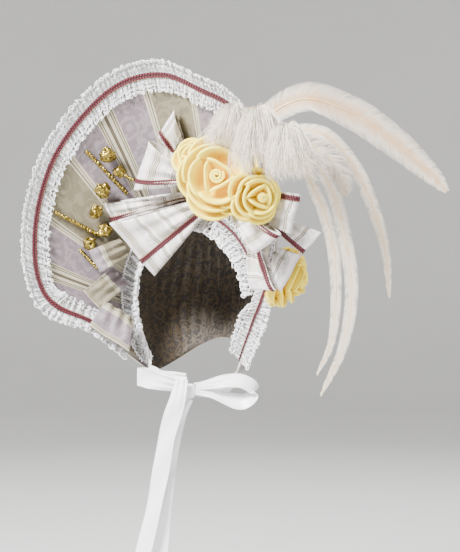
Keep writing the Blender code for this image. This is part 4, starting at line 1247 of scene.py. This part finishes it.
class FaceTrimMaker(bpy.types.Operator):
    """The gathered lace round the face opening, and its narrow braid"""
    bl_idname = "bonnet.face_trim"
    bl_label = "Face lace and braid"

    def execute(self, context):
        settings = context.scene.bonnet_lace
        rng = np.random.default_rng(8)
        places = np.linspace(*FACE_LACE_ENDS, FACE_LACE_COLUMNS)
        cloth = lining(places, np.array([0, 1 / 3, 1]))
        edge, inner, rim = cloth[:, 0], cloth[:, 1], cloth[:, 2]
        off = unit(edge - inner)
        side = unit(np.cross(off, np.gradient(edge, axis=0)))
        length = np.linalg.norm(edge - rim, axis=1, keepdims=True)
        inward = face_centre_from(edge)
        middle = places[:, None]
        inside = FACE_LACE_INSIDE + FACE_LACE_FULL * np.exp(-((middle - 0.25) / 0.35) ** 2)
        braid = np.minimum(FACE_BRAID_WIDTH, 0.18 * length)
        outside = np.minimum(FACE_LACE_OUTSIDE, 0.1 * length)
        turn, slant, tall = ruffle(rng, places, settings.face_gathers)
        along = heading(edge)
        front = np.array([0, -1, 0])
        flat = edge + side * (LACE_SEAT + LACE_THICK / 2)
        rows, distances, depth = [], [], []
        # Into the face opening, from its border to the seam, and then out over the lining
        for share in np.linspace(1, 0, 10):
            fold, swing = gather(turn, slant, share)
            lift = share ** 0.8 * settings.face_height * tall * fold
            sway = along * swing * 0.0036 * share
            depth.append(fold[:, 0])
            rows.append(flat + off * BRAID_MARGIN + inward * inside * share + front * lift + sway)
            distances.append((1 - share) * FACE_LACE_INSIDE)
        for share in np.linspace(0, 1, 5):
            fold = gather(turn, slant, share)[0]
            lift = share * 0.004 * tall * (1 - fold) * outside / FACE_LACE_OUTSIDE
            depth.append(fold[:, 0])
            rows.append(flat - off * (braid + BRAID_MARGIN + outside * share) + side * lift)
            distances.append((1 - share) * FACE_LACE_OUTSIDE)
        grid = np.stack(rows, 1)
        colour = tuple(settings.colour)
        material = lace("Looped face lace", net=190.0, thread=0.06, blossoms=130.0,
                        scallop=0.0085, colour=colour)
        cords = [border_cord(grid[:, row], inward, front + 0 * edge, pitch, reach, radius)
                 for row, pitch, reach, radius in FACE_CORDS]
        make_piece("face_lace_cord", cords, [lace_cord(colour)], "face_lace")
        # Tone 0.1 deep in the folds is painted shade
        ruffled = make_piece("face_lace_ruffle", [lace_patch(grid, 4, distances, depth, 0.1)],
                             [material], "face_lace")
        bare = (places > FACE_BRAID_ENDS[0]) & (places < FACE_BRAID_ENDS[1])
        over = (edge + side * (LACE_SEAT + LACE_THICK + BRAID_SEAT))[bare]
        braids = context.scene.bonnet_braid
        near, far, high = (line[::BRAID_STEP]
                           for line in (over, over - (off * braid)[bare], side[bare]))
        patch = braid_patch(near, far, high, braids.pitch * 0.8, thick=0.001)
        make_braid("face_rose_braid", "face_braid", patch, braids)
        return {"FINISHED"}


def loop_form(row, turn, side):
    """A folded band: a teardrop from the root out to the fold and back, as wide as the fold at
    its end and pinched at the root. Gives the grid, the way it faces, and its share of reach."""
    root, first, second = (trim(row[start:start + 3]) for start in (1, 4, 7))
    puff = row[10] * MM
    end, half = (first + second) / 2, (second - first) / 2
    facing = unit(np.cross(end - root, half))
    if facing @ TOWARD < 0:
        facing, half = -facing, -half
    turn, side = turn[:, None], side[None, :]
    reach = (1 - np.cos(turn)) / 2
    rise = puff / 2 * np.sin(turn) * np.sin(turn / 2) / 0.77
    sign = np.where(turn < math.pi, 1.0, -1.0)
    rise = sign * np.maximum(abs(rise), 0.0019 * np.minimum(abs(turn - math.pi) * 6, 1))
    spread = row[11] + (1 - row[11]) * reach
    rise = rise + 0.003 * (1 - reach) * (1 - abs(side)) * sign
    grid = (root + (end - root) * reach[..., None] + half * (side * spread)[..., None]
            + facing * rise[..., None])
    return grid, facing, bool((second - first) @ half > 0), reach, sign


class LoopMaker(bpy.types.Operator):
    """The folded bands of the cockade and the three pleats, with their braids"""
    bl_idname = "bonnet.loops"
    bl_label = "Loops and pleats"

    def execute(self, context):
        braids = context.scene.bonnet_braid
        for number, row in enumerate(LOOPS):
            rng = np.random.default_rng(40 + number)
            # As few points as the band's solid has, for its middle
            coarse_turn = np.linspace(LOOP_OPEN, 2 * math.pi - LOOP_OPEN, 13)
            coarse = loop_form(row, coarse_turn, np.array([-1.0, 0, 1]))[0]
            offset = to_node(row[0], coarse)
            turn = np.linspace(LOOP_OPEN, 2 * math.pi - LOOP_OPEN, 2 * LOOP_STEPS + 1)
            side = np.linspace(-1, 1, 25)
            grid, facing, same_way, reach, sign = loop_form(row, turn, side)
            grid = grid + offset + self.creases(rng, row, facing, reach, sign, side)
            along, across = arc(grid), arc_across(grid)
            count = row[13] + (along - along[LOOP_STEPS]) * row[14]
            patch = Patch(grid, pairs(across, along), pairs(count, across))
            cloth = lining_cloth() if row[0].startswith("pleat") else pale_cloth()
            band = make_piece(row[0] + "_cloth", [patch], [cloth], row[0])
            wall(band, LOOP_WALL)
            place = row[12] if same_way else -row[12]
            if abs(place) <= 1:
                self.add_braid(row, grid, facing, place, side, braids)
        return {"FINISHED"}

    @staticmethod
    def creases(rng, row, facing, reach, sign, side):
        """Folds that fan out from the pinched root and fade toward the fold, and slow waves."""
        side = side[None, :]
        phase, turns = rng.uniform(0, 6.28), rng.uniform(2.2, 3.4)
        fan = np.cos(math.pi * side * turns + phase) * (1 - reach) ** 0.7 * 0.0036
        fan = fan * (1 - 0.6 * row[11])
        slow = np.sin(math.pi * (1.3 * side + 2.4 * reach) + phase) * reach * (1 - reach) * 0.006
        end = np.exp(-((1 - reach) / 0.05)) * np.sin(4.4 * side + phase) * 0.0014
        return facing * ((fan + slow) * sign + end)[..., None]

    @staticmethod
    def add_braid(row, grid, facing, place, side, braids):
        """A braid from the root to the fold over one half of the upper layer."""
        upper = grid[:LOOP_STEPS + 1]
        wide = np.linalg.norm(upper[:, -1] - upper[:, 0], axis=1) / 2
        half = 1.15 * LOOP_BRAID_WIDTH / 2 / wide
        along = np.gradient(upper, axis=0)
        high = unit(np.cross(along, np.gradient(upper, axis=1)))
        high = high * np.where(high @ facing > 0, 1, -1)[..., None]
        lines = []
        for way in (-1, 1):
            at = np.clip(place + way * half, -0.97, 0.97)
            lines.append(read_across(upper, side, at))
        rise = read_across(high, side, np.clip(np.full_like(half, place), -1, 1))
        near, far = (line + rise * BRAID_SEAT for line in lines)
        patch = braid_patch(near, far, rise, braids.pitch * 0.85)
        name = row[0].replace("loop", "braid")
        make_braid(name + "_rose", name, patch, braids)


def read_across(grid, side, at):
    """Each row of a grid, read where its second axis has the value at."""
    index = np.interp(at, side, np.arange(len(side)))
    low = np.clip(index.astype(int), 0, len(side) - 2)
    share = (index - low)[:, None]
    rows = np.arange(len(grid))
    return grid[rows, low] * (1 - share) + grid[rows, low + 1] * share


def rose_rings(row):
    """The rose's solid as the table gives it, for its middle."""
    radius, front, back = (value * MM for value in row[7:10])
    facing = unit(trim(row[4:7]))
    side = unit(np.cross(UP, facing))
    top = np.cross(facing, side)
    angle = full_turn(16)
    rings = []
    for index, ((share, height), wave) in enumerate(zip(ROSE_RINGS, ROSE_WAVES)):
        petals = 3 if index < 4 else 5
        lobes = 1 + wave * np.cos(petals * angle + 1.3 * index)
        rise = (front if height > 0 else back) * height * (1 + wave * np.sin(petals * angle))
        around = circle(angle, side, top)
        rings.append(trim(row[1:4]) + around * (radius * share * lobes)[:, None]
                     + facing * np.broadcast_to(rise, angle.shape)[:, None])
    return np.array(rings), facing, side, top


class RoseMaker(bpy.types.Operator):
    """Foam roses: a rolled heart, rings of cupped petals, and flat petals below them"""
    bl_idname = "bonnet.roses"
    bl_label = "Foam roses"

    def execute(self, context):
        settings = context.scene.bonnet_rose
        for number, row in enumerate(ROSES):
            rings, facing, side, top = rose_rings(row)
            centre = trim(row[1:4]) + to_node(row[0], rings)
            radius, front, back = (value * MM for value in row[7:10])
            rng = np.random.default_rng(70 + number)
            patches = [self.heart(radius, front)]
            start = math.radians(row[11])
            inner = 0.14
            for count, reach, high, low, overlap, ends, turn in PETAL_RINGS[row[10]]:
                start += math.radians(turn)
                for petal in range(count):
                    angle = start + 2 * math.pi * petal / count + rng.uniform(-0.1, 0.1)
                    form = (radius * inner * 0.8, radius * reach * rng.uniform(0.96, 1.03),
                            front * high * rng.uniform(0.94, 1.04), front * low)
                    patches.append(self.petal(form, angle, math.pi / count * overlap, ends))
                inner = reach
            patches.append(self.calyx(radius, back))
            for patch in patches:
                # The heart moves off the middle, and the rim stays
                near = 1 - np.linalg.norm(patch.points[..., :2], axis=-1, keepdims=True) / radius
                local = patch.points + (np.array([*row[12], 0]) * radius
                                        * np.clip(near, 0, 1) ** 0.7)
                patch.points = (centre + local[..., 0:1] * side + local[..., 1:2] * top
                                + local[..., 2:3] * facing)
            rose = make_piece(row[0] + "_foam", patches, [foam(settings)], row[0])
            wall(rose, settings.petal_thickness, offset=0)
            soften(rose)
        return {"FINISHED"}

    @staticmethod
    def heart(radius, front):
        """A sheet rolled two turns, its rim a little open."""
        turn = np.linspace(0, 4.2 * math.pi, 44)[None, :]
        height = np.array([0, 0.3, 0.6, 0.85, 0.95, 1.0])[:, None]
        reach = radius * (0.03 + 0.16 * turn / (4.2 * math.pi)) * (0.9 + 0.12 * height ** 2)
        rise = front * (0.1 + 0.95 * height) * (1 - 0.06 * turn / (4.2 * math.pi))
        # Low tone at the bottom of the roll is painted shade deep in the heart
        tone = np.broadcast_to(0.15 + 0.85 * height ** 3, reach.shape)
        return Patch(turned(reach, turn, rise), tone=tone)

    @staticmethod
    def petal(form, angle, span, ends):
        """A cupped petal: a hollow floor that runs out from the heart, a wall that rises to the
        rim, and a rim that rolls over."""
        inner, reach, high, low = form
        across = np.linspace(-1, 1, 15)[None, :]
        fall = 1 - 0.10 * abs(across) ** 3 - 0.25 * np.clip(abs(across) - 0.8, 0, 1) / 0.2
        rim = reach * (1 + ends * (across ** 2 - 0.25)) * (1 + 0.05 * across)
        out = np.array([0.0, 0.3, 0.6, 0.8, 0.93, 1.0, 1.05, 1.06])[:, None]
        up = np.array([0.0, 0.04, 0.22, 0.55, 0.88, 1.0, 0.97, 0.86])[:, None]
        distance = inner + (rim - inner) * out
        wave = 0.05 * (high - low) * np.sin(3.1 * across + angle * 5) * up
        rise = low + (high * fall - low) * up + wave
        turn = angle + span * across * (0.75 + 0.25 * np.clip(out, 0, 1))
        # The tone climbs from the root to the rolled rim: painted shade in the hollow, painted
        # light on the rim
        rolled = np.clip((out - 0.62) / 0.33, 0, 1) ** 1.5
        tone = np.broadcast_to(np.clip(0.1 + 0.35 * out + 0.6 * rolled, 0, 1), distance.shape)
        return Patch(turned(distance, turn, rise), tone=tone)

    @staticmethod
    def calyx(radius, back):
        """The rounded back that carries the petals."""
        out = np.linspace(0.02, 1, 10)[:, None]
        reach = radius * 0.72 * np.sin(out * math.pi / 2)
        rise = -back * 0.9 * np.cos(out * math.pi / 2)
        return Patch(turned(reach, full_turn(32)[None, :], rise), tone=0.3, around=True)


def tube_patch(path, radius, sides):
    """A tube along a path: circles of the given radius, one for each of its points."""
    along = heading(path)
    first = unit(np.cross(along, TOWARD + UP * 0.31))
    second = np.cross(first, along)
    radius = np.broadcast_to(radius, len(path) if np.ndim(radius) == 0 else np.shape(radius))
    radius = np.broadcast_to(radius.reshape(len(path), -1), (len(path), sides))
    around = circle(full_turn(sides)[None, :], first[:, None], second[:, None])
    points = path[:, None] + around * radius[..., None]
    return Patch(points, pairs(arc(path)[:, None], np.linspace(0, 1, sides + 1)), around=True)


def ball_patch(centres, radii, shape, rings, sides):
    """Balls round the centres: shape gives the share of the radius in each direction."""
    down = np.linspace(0.02, math.pi - 0.02, rings)[:, None]
    way = turned(np.sin(down), full_turn(sides)[None, :], np.cos(down))
    size = shape(way)
    points = (np.reshape(centres, (-1, 1, 1, 3))
              + way * np.reshape(radii, (-1, 1, 1, 1)) * size[..., None])
    return Patch(points, around=True)


def crumpled(rng, depth, folds=14):
    """A radius for each direction, creased by the meeting of many tilted planes."""
    normals = unit(rng.normal(size=(folds, 3)))
    rates = rng.uniform(2.0, 5.5, folds)
    phases = rng.uniform(0, 6.28, folds)

    def shape(way):
        """The radius in each direction."""
        wave = abs(np.sin((way @ normals.T) * rates + phases))
        return 1 - depth * (wave.mean(-1) - 0.35) * 3.2
    return shape


class GoldMaker(bpy.types.Operator):
    """Gold braids, crumpled knots, and the two short ends"""
    bl_idname = "bonnet.gold"
    bl_label = "Gold trim"

    def execute(self, context):
        settings = context.scene.bonnet_gold
        foil = gold_foil(settings)
        for number, (name, from_place, from_row, to_place, to_row) in enumerate(GOLD_BRAIDS):
            height = GOLD_BRAID_RADIUS + GOLD_LIFT
            ends = np.array([on_lining(from_place, from_row, height),
                             on_lining(to_place, to_row, height)])
            ends = ends + to_node(name, ends)
            length = np.linalg.norm(ends[1] - ends[0])
            path = between(ends, np.linspace(0, 1, 240))
            twists = np.linspace(0, length / GOLD_TWIST, 240)[:, None]
            coil = np.cos(2 * full_turn(18)[None, :] + 2 * math.pi * twists)
            plait = tube_patch(path, GOLD_BRAID_RADIUS * (0.88 + 0.2 * coil), sides=18)
            beads = np.arange(0.004, length, GOLD_BEAD_PITCH)
            at = between(ends, beads / length)
            sway = np.where(np.arange(len(beads)) % 2, 1, -1)[:, None] * ACROSS * GOLD_SEQUIN_SWAY
            sequins = ball_patch(at + sway + TOWARD * GOLD_SEQUIN_FORWARD,
                                 np.full(len(at), GOLD_SEQUIN_RADIUS),
                                 crumpled(np.random.default_rng(5), 0.15), rings=7, sides=9)
            make_piece(name + "_plait", [plait, sequins], [foil], name)
        for number in range(1, 7):
            name = f"gold_knot_{number}"
            low, high = (np.array(corner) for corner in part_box(name))
            rng = np.random.default_rng(20 + number)
            knot = ball_patch([(low + high) / 2], [(high - low).mean() / 2 * 1.1],
                              crumpled(rng, settings.crumple), rings=36, sides=48)
            make_piece(name + "_foil", [knot], [foil], name)
        for name, start_across, start_up, end_across, end_up, beads in GOLD_ENDS:
            ends = trim([(start_across, start_up, 40), (end_across, end_up, 40)])
            ends = ends + to_node(name, ends)
            share = np.linspace(0, 1, 90)
            swing = np.sin(share * math.pi * beads)[:, None]
            path = between(ends, share) + ACROSS * 0.0009 * swing
            strand = tube_patch(path, GOLD_END_RADIUS * (0.7 + 0.3 * abs(swing)), sides=12)
            at = between(ends, np.linspace(0.04, 0.96, beads))
            links = ball_patch(at, np.full(beads, GOLD_END_RADIUS * 1.35),
                               crumpled(np.random.default_rng(9), 0.25), rings=10, sides=12)
            make_piece(name + "_strand", [strand, links], [foil], name)
        return {"FINISHED"}


class PlumeMaker(bpy.types.Operator):
    """Cock plumes: a tapered quill with separate barbs on both sides"""
    bl_idname = "bonnet.plumes"
    bl_label = "Plumes"

    def execute(self, context):
        settings = context.scene.bonnet_feather
        pale, peach = tuple(settings.pale_colour), tuple(settings.peach_colour)
        materials = [feather("Plume barbs", pale, peach), quill_material()]
        for number, (name, points, width, widest, loose, warm) in enumerate(PLUMES):
            rng = np.random.default_rng(90 + number)
            # As few points as the plume's solid has, for its middle
            line = through(trim(points), 3)
            coarse = read_lines(line, np.linspace(0, len(line) - 1, 11))
            line = through(trim(points), 24)
            line = evenly(line + to_node(name, coarse), 300)
            length = arc(line)[-1]
            share = np.linspace(0, 1, len(line))
            bend = np.where(share < widest, share / widest, (1 - share) / (1 - widest))
            half = (0.04 + 0.96 * np.sin(bend * math.pi / 2) ** 0.55) * width * MM / 2
            along = heading(line)
            across = unit(np.cross(along, TOWARD))
            high = unit(np.cross(across, along))
            quill = tube_patch(line, QUILL_RADIUS * (1 - 0.8 * share) + QUILL_TIP_RADIUS, sides=8)
            quill.part = 1
            patches = [quill]
            count = int(length / settings.barb_spacing * (3 if loose > 0.8 else 1))
            for way in (-1, 1):
                at = (np.arange(count) + rng.uniform(0, 1, count)) / count
                patches.append(self.barbs(rng, at, way, share, line, along, across, high, half,
                                          loose, warm))
                if loose < 0.8:
                    patches.append(self.vane(way, line, along, across, high, half, warm))
            make_piece(name + "_feather", patches, materials, name)
        return {"FINISHED"}

    @staticmethod
    def vane(way, line, along, across, high, half, warm):
        """The sheet that the barbs of one side make together, just below them. Its grey is painted
        shade that shows in the gaps between the barbs.
        """
        steps = np.array([0, 0.15, 0.35, 0.55, 0.75, 0.88])[None, :, None]
        reach = half[:, None, None]
        grid = (line[:, None] + across[:, None] * way * reach * steps
                + along[:, None] * reach * 0.9 * steps ** 1.35
                + high[:, None] * (0.0012 * steps * (1 - steps) - 0.0004))
        # The tone here is below the barbs': painted shade in the gaps between them
        tone = np.broadcast_to(warm * (1 - steps[..., 0]) ** 1.6 - 0.14, grid.shape[:2])
        return Patch(grid, tone=tone)

    @staticmethod
    def barbs(rng, at, way, share, line, along, across, high, half, loose, warm):
        """Each barb leaves the quill at a slant, bends toward the tip and droops a little. Its
        width tapers. Barbs cling together in bundles, with gaps between bundles."""
        def read(values):
            """Lines of points, read where the barbs leave the quill."""
            return np.stack([np.interp(at, share, values[:, axis]) for axis in range(3)], 1)
        root, ahead, side, lift = read(line), read(along), read(across), read(high)
        reach = np.interp(at, share, half)
        bundle = np.floor(at * 58 + 0.5 * np.sin(at * 57 + way))
        shift = np.random.default_rng(7).normal(size=80)[(bundle.astype(int) * 7) % 80]
        steps = np.linspace(0, 1, 6)
        fluffy = max(0.0, loose - 0.6) * 3
        random = rng.normal(size=(3, len(at), 1))
        out = reach[:, None] * (1 - (0.05 + 0.3 * fluffy) * rng.uniform(0, 1, (len(at), 1))) * steps
        slant = 0.9 + 0.03 * shift[:, None] + 0.4 * fluffy * random[0]
        forward = reach[:, None] * slant * steps ** 1.35 + 0.0020 * steps * loose * shift[:, None]
        droop = 0.005 * fluffy * random[1] * steps ** 1.5 + 0.0012 * steps * (1 - steps)
        middle = (root[:, None] + side[:, None] * (way * out)[..., None]
                  + ahead[:, None] * forward[..., None] + lift[:, None] * droop[..., None])
        broad = unit(np.cross(heading(middle, 1), lift[:, None]))
        size = ((0.00030 - 0.00016 * fluffy) * (1 - steps) ** 0.7 + 0.00009)[None, :, None]
        tone = (0.06 + warm * (1 - steps[None, :]) ** 1.6 + 0.06 * shift[:, None]
                + 0.05 * random[2])
        tone = np.repeat(np.clip(tone, 0, 1)[..., None], 2, 2)
        return Patch(strip(middle, broad * size), tone=tone)


class TuftMaker(bpy.types.Operator):
    """Ostrich fluff: drooping strands with short hairs, curled at their ends"""
    bl_idname = "bonnet.tufts"
    bl_label = "Fluff"

    def execute(self, context):
        settings = context.scene.bonnet_feather
        material = feather("Ostrich fluff", tuple(settings.fluff_colour),
                           tuple(settings.peach_colour))
        for number, row in enumerate(TUFTS):
            rng = np.random.default_rng(120 + number)
            head, end = trim(row[1:4]), trim(row[4:7])
            width, depth, locks = row[7] * MM, row[8] * MM, row[9]
            offset = to_node(row[0], self.solid(head, end, width, depth, locks))
            strands = self.strands(rng, head + offset, end + offset, width, depth,
                                   locks * WISPS_PER_LOCK, settings.strands)
            make_piece(row[0] + "_fluff", [self.stems(strands), self.hairs(rng, strands)],
                       [material], row[0])
        return {"FINISHED"}

    @staticmethod
    def solid(head, end, width, depth, locks):
        """The tuft's solid as the table gives it, for its middle."""
        angle = full_turn(18)
        lock = np.cos(locks * angle)[:, None]
        rings = []
        for share in np.linspace(0, 1, 7):
            girth = 0.35 + 0.65 * math.sin(math.pi * (0.15 + 0.62 * share))
            taper = girth * (1 - 0.35 * share ** 4)
            centre = head + (end - head) * share + TOWARD * 0.012 * math.sin(math.pi * share)
            around = circle(angle, ACROSS * width / 2, TOWARD * depth / 2)
            rings.append(centre + around * taper * (1 + 0.16 * share * lock)
                         - UP * 0.009 * share ** 2 * lock)
        return np.array(rings)

    @staticmethod
    def strands(rng, head, end, width, depth, wisps, each):
        """Wisps leave an arched quill on all its sides and fall over the tuft's form. The strands
        of a wisp spread toward its tip, which curls."""
        share = np.linspace(0, 1, STRAND_POINTS)[None, :]
        start, angle, long, bend, turn = rng.uniform(0, 1, (5, wisps))[..., None]
        angle = angle * 2 * math.pi
        start = 0.42 * start ** 1.4
        reach = (0.35 + 0.65 * np.sqrt(long)) * (1 - (1 - share) ** 2.4)
        fall = start + (1.04 - start) * (0.55 + 0.45 * long) * share ** 1.5
        sweep = 0.030 * (bend - 0.5) * share ** 2
        curl = (0.4 + bend) * np.clip(share - 0.5, 0, 1) ** 1.4
        turn = 2 * math.pi * turn + 6 * share
        sideways = np.cos(angle) * width / 2 * reach + sweep + 0.018 * curl * np.cos(turn)
        outward = np.sin(angle) * depth / 2 * reach * 0.85 + 0.012 * np.sin(math.pi * fall)
        lift = 0.009 * np.sin(math.pi * np.minimum(share * 1.6, 1)) + 0.018 * curl * np.sin(turn)
        whole = (head + (end - head) * fall[..., None]
                 + ACROSS * sideways[..., None] + TOWARD * outward[..., None]
                 + UP * lift[..., None])
        loose = 0.0013 + 0.0024 * share[..., None] ** 1.3
        aside = rng.normal(size=(wisps, each, 1, 3)) * loose
        cut = rng.uniform(0.82, 1.0, (wisps, each, 1))
        place = share[None] * cut * (STRAND_POINTS - 1)
        low = np.clip(place.astype(int), 0, STRAND_POINTS - 2)
        mix = (place - low)[..., None]
        row = np.arange(wisps)[:, None, None]
        lines = whole[row, low] * (1 - mix) + whole[row, low + 1] * mix
        return (lines + aside).reshape(-1, STRAND_POINTS, 3)

    @staticmethod
    def stems(strands):
        """Flat stems, thin toward their ends."""
        broad = unit(np.cross(heading(strands, 1), TOWARD))
        size = (0.00020 * (1 - np.linspace(0, 1, strands.shape[1])) + 0.00012)[None, :, None]
        tone = 0.04 + 0.20 * np.sin(np.arange(len(strands)) * 0.7)[:, None, None]
        return Patch(strip(strands, broad * size), tone=tone)

    @staticmethod
    def hairs(rng, strands, each=3):
        """Fine hairs that leave both sides of every strand and run nearly along it."""
        count, points = strands.shape[:2]
        at = np.linspace(0.12, 0.98, each) * (points - 1)
        low = np.clip(at.astype(int), 0, points - 2)
        mix = (at - low)[None, :, None]
        root = strands[:, low] * (1 - mix) + strands[:, low + 1] * mix
        along = heading(strands, 1)[:, low]
        broad = unit(np.cross(along, TOWARD + 0.5 * rng.normal(size=(count, each, 3))))
        broad = broad * np.where(np.arange(each) % 2, 1, -1)[None, :, None]
        steps = np.linspace(0, 1, 4)[None, None, :, None]
        size = rng.uniform(0.006, 0.012, (count, each, 1, 1))
        middle = (root[:, :, None] + broad[:, :, None] * size * 0.30 * np.sqrt(steps)
                  + along[:, :, None] * size * 0.9 * steps - UP * size * 0.25 * steps ** 2)
        thin = unit(np.cross(along, TOWARD))[:, :, None] * 0.00016 * (1.15 - steps)
        grid = strip(middle, thin)
        tone = np.broadcast_to(rng.uniform(-0.12, 0.25, (count, 1, 1, 1)), grid.shape[:4])
        return Patch(grid.reshape(-1, 4, 2, 3), tone=tone.reshape(-1, 4, 2))


def ribbon_form(row, steps):
    """A ribbon's middle line, the way of its width and of its thickness, and its width."""
    points, start_wide, end_wide, start_share, end_share = row[1:6]
    line = through(trim(points), steps)
    share = np.linspace(0, 1, len(line))[:, None]
    along = heading(line)
    wide = unit(trim(start_wide) * (1 - share) + trim(end_wide) * share)
    high = unit(np.cross(along, wide))
    wide = unit(np.cross(high, along))
    width = RIBBON_WIDTH * np.minimum(
        start_share + (1 - start_share) * np.minimum(share / RIBBON_SPREAD, 1),
        end_share + (1 - end_share) * np.minimum((1 - share) / RIBBON_SPREAD, 1),
    )
    return line, wide, high, width


class RibbonMaker(bpy.types.Operator):
    """Satin ties, their knot, two loops and two tails"""
    bl_idname = "bonnet.ribbons"
    bl_label = "Ribbons"

    def execute(self, context):
        material = satin(context.scene.bonnet_ribbon)
        for number, row in enumerate(RIBBONS):
            rng = np.random.default_rng(150 + number)
            # As few points as the ribbon's solid has, for its middle
            line, wide, high, width = ribbon_form(row, 3)
            coarse = np.stack([line - wide * width / 2,
                               line + wide * width / 2 + high * RIBBON_THICK])
            offset = to_node(row[0], coarse)
            line, wide, high, width = ribbon_form(row, 18)
            share = np.linspace(0, 1, len(line))[:, None]
            over = np.linspace(-1, 1, 25)[None, :]
            pinch = 1 - width / RIBBON_WIDTH
            folds = pinch * 0.004 * np.cos(over * math.pi * 2.5 + rng.uniform(0, 6.28))
            wave = 0.0011 * np.sin(2 * math.pi * share * 3 + over * 2 + rng.uniform(0, 6.28))
            wave = wave * np.minimum(share * 5, 1) * np.minimum((1 - share) * 5 + 0.3, 1)
            cup = 0.0009 * (1 - over ** 2)
            rise = (folds + wave + cup)[..., None]
            grid = (line[:, None] + wide[:, None] * (over * width / 2)[..., None]
                    + high[:, None] * rise + offset)
            cloth = pairs(arc(line)[:, None], over * RIBBON_WIDTH / 2)
            ribbon = make_piece(row[0] + "_satin", [Patch(grid, cloth)], [material],
                                row[0])
            wall(ribbon, SATIN_WALL, offset=0)
        self.knot(material)
        return {"FINISHED"}

    @staticmethod
    def knot(material):
        """A band wrapped round the middle: a full ball with creases that run up and down."""
        low, high = (np.array(corner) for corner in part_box("tie_knot"))
        across, up, toward = KNOT_SIZE
        down = np.linspace(0.02, math.pi - 0.02, 40)[:, None]
        turn = full_turn(72)[None, :]
        crease = 1 + 0.05 * np.cos(9 * turn + 2 * np.cos(down)) * np.sin(down)
        boxy = (abs(np.cos(turn)) ** 3 + abs(np.sin(turn)) ** 3) ** (-1 / 3)
        reach = np.sin(down) ** 0.8 * crease * boxy * 0.94
        points = ((low + high) / 2 + ACROSS * (reach * np.cos(turn) * across / 2)[..., None]
                  + TOWARD * (reach * np.sin(turn) * toward / 2)[..., None]
                  + UP * np.broadcast_to(np.cos(down) * up / 2, reach.shape)[..., None])
        cloth = pairs(np.cos(down) * 0.01, np.linspace(-0.012, 0.012, 73))
        make_piece("tie_knot_satin", [Patch(points, cloth, around=True)], [material],
                   "tie_knot")


GROUPS = (
    ("bonnet_lining", LiningSettings), ("bonnet_lace", LaceSettings),
    ("bonnet_braid", BraidSettings), ("bonnet_rose", RoseSettings),
    ("bonnet_gold", GoldSettings), ("bonnet_feather", FeatherSettings),
    ("bonnet_ribbon", RibbonSettings), ("bonnet_stage", StageSettings),
)
MAKERS = (StageMaker, BrimMaker, CrownMaker, EdgeTrimMaker, FaceTrimMaker, LoopMaker, RoseMaker,
          GoldMaker, PlumeMaker, TuftMaker, RibbonMaker)


class BonnetPanel(bpy.types.Panel):
    """Lists what makes each piece of the bonnet, and its sizes and colours"""
    bl_idname = "VIEW3D_PT_bonnet"
    bl_label = "Lolita bonnet"
    bl_space_type = "VIEW_3D"
    bl_region_type = "UI"
    bl_category = "Bonnet"

    def draw(self, context):
        """A button for each group of pieces, then the settings."""
        for maker in MAKERS:
            self.layout.operator(maker.bl_idname)
        for name, group in GROUPS:
            box = self.layout.box()
            settings = getattr(context.scene, name)
            for label in group.__annotations__:
                box.prop(settings, label)


def register():
    """Adds the settings, the operators and the panel."""
    for name, group in GROUPS:
        bpy.utils.register_class(group)
        setattr(bpy.types.Scene, name, PointerProperty(type=group))
    for maker in (*MAKERS, BonnetPanel):
        bpy.utils.register_class(maker)


def unregister():
    """Takes them away again."""
    for maker in (BonnetPanel, *MAKERS[::-1]):
        bpy.utils.unregister_class(maker)
    for name, group in GROUPS[::-1]:
        delattr(bpy.types.Scene, name)
        bpy.utils.unregister_class(group)


def main():
    """Makes the whole bonnet."""
    register()
    bpy.ops.bonnet.stage()
    bpy.ops.bonnet.brim()
    bpy.ops.bonnet.crown()
    bpy.ops.bonnet.edge_trim()
    bpy.ops.bonnet.face_trim()
    bpy.ops.bonnet.loops()
    bpy.ops.bonnet.roses()
    bpy.ops.bonnet.gold()
    bpy.ops.bonnet.plumes()
    bpy.ops.bonnet.tufts()
    bpy.ops.bonnet.ribbons()


if __name__ == "__main__":
    main()
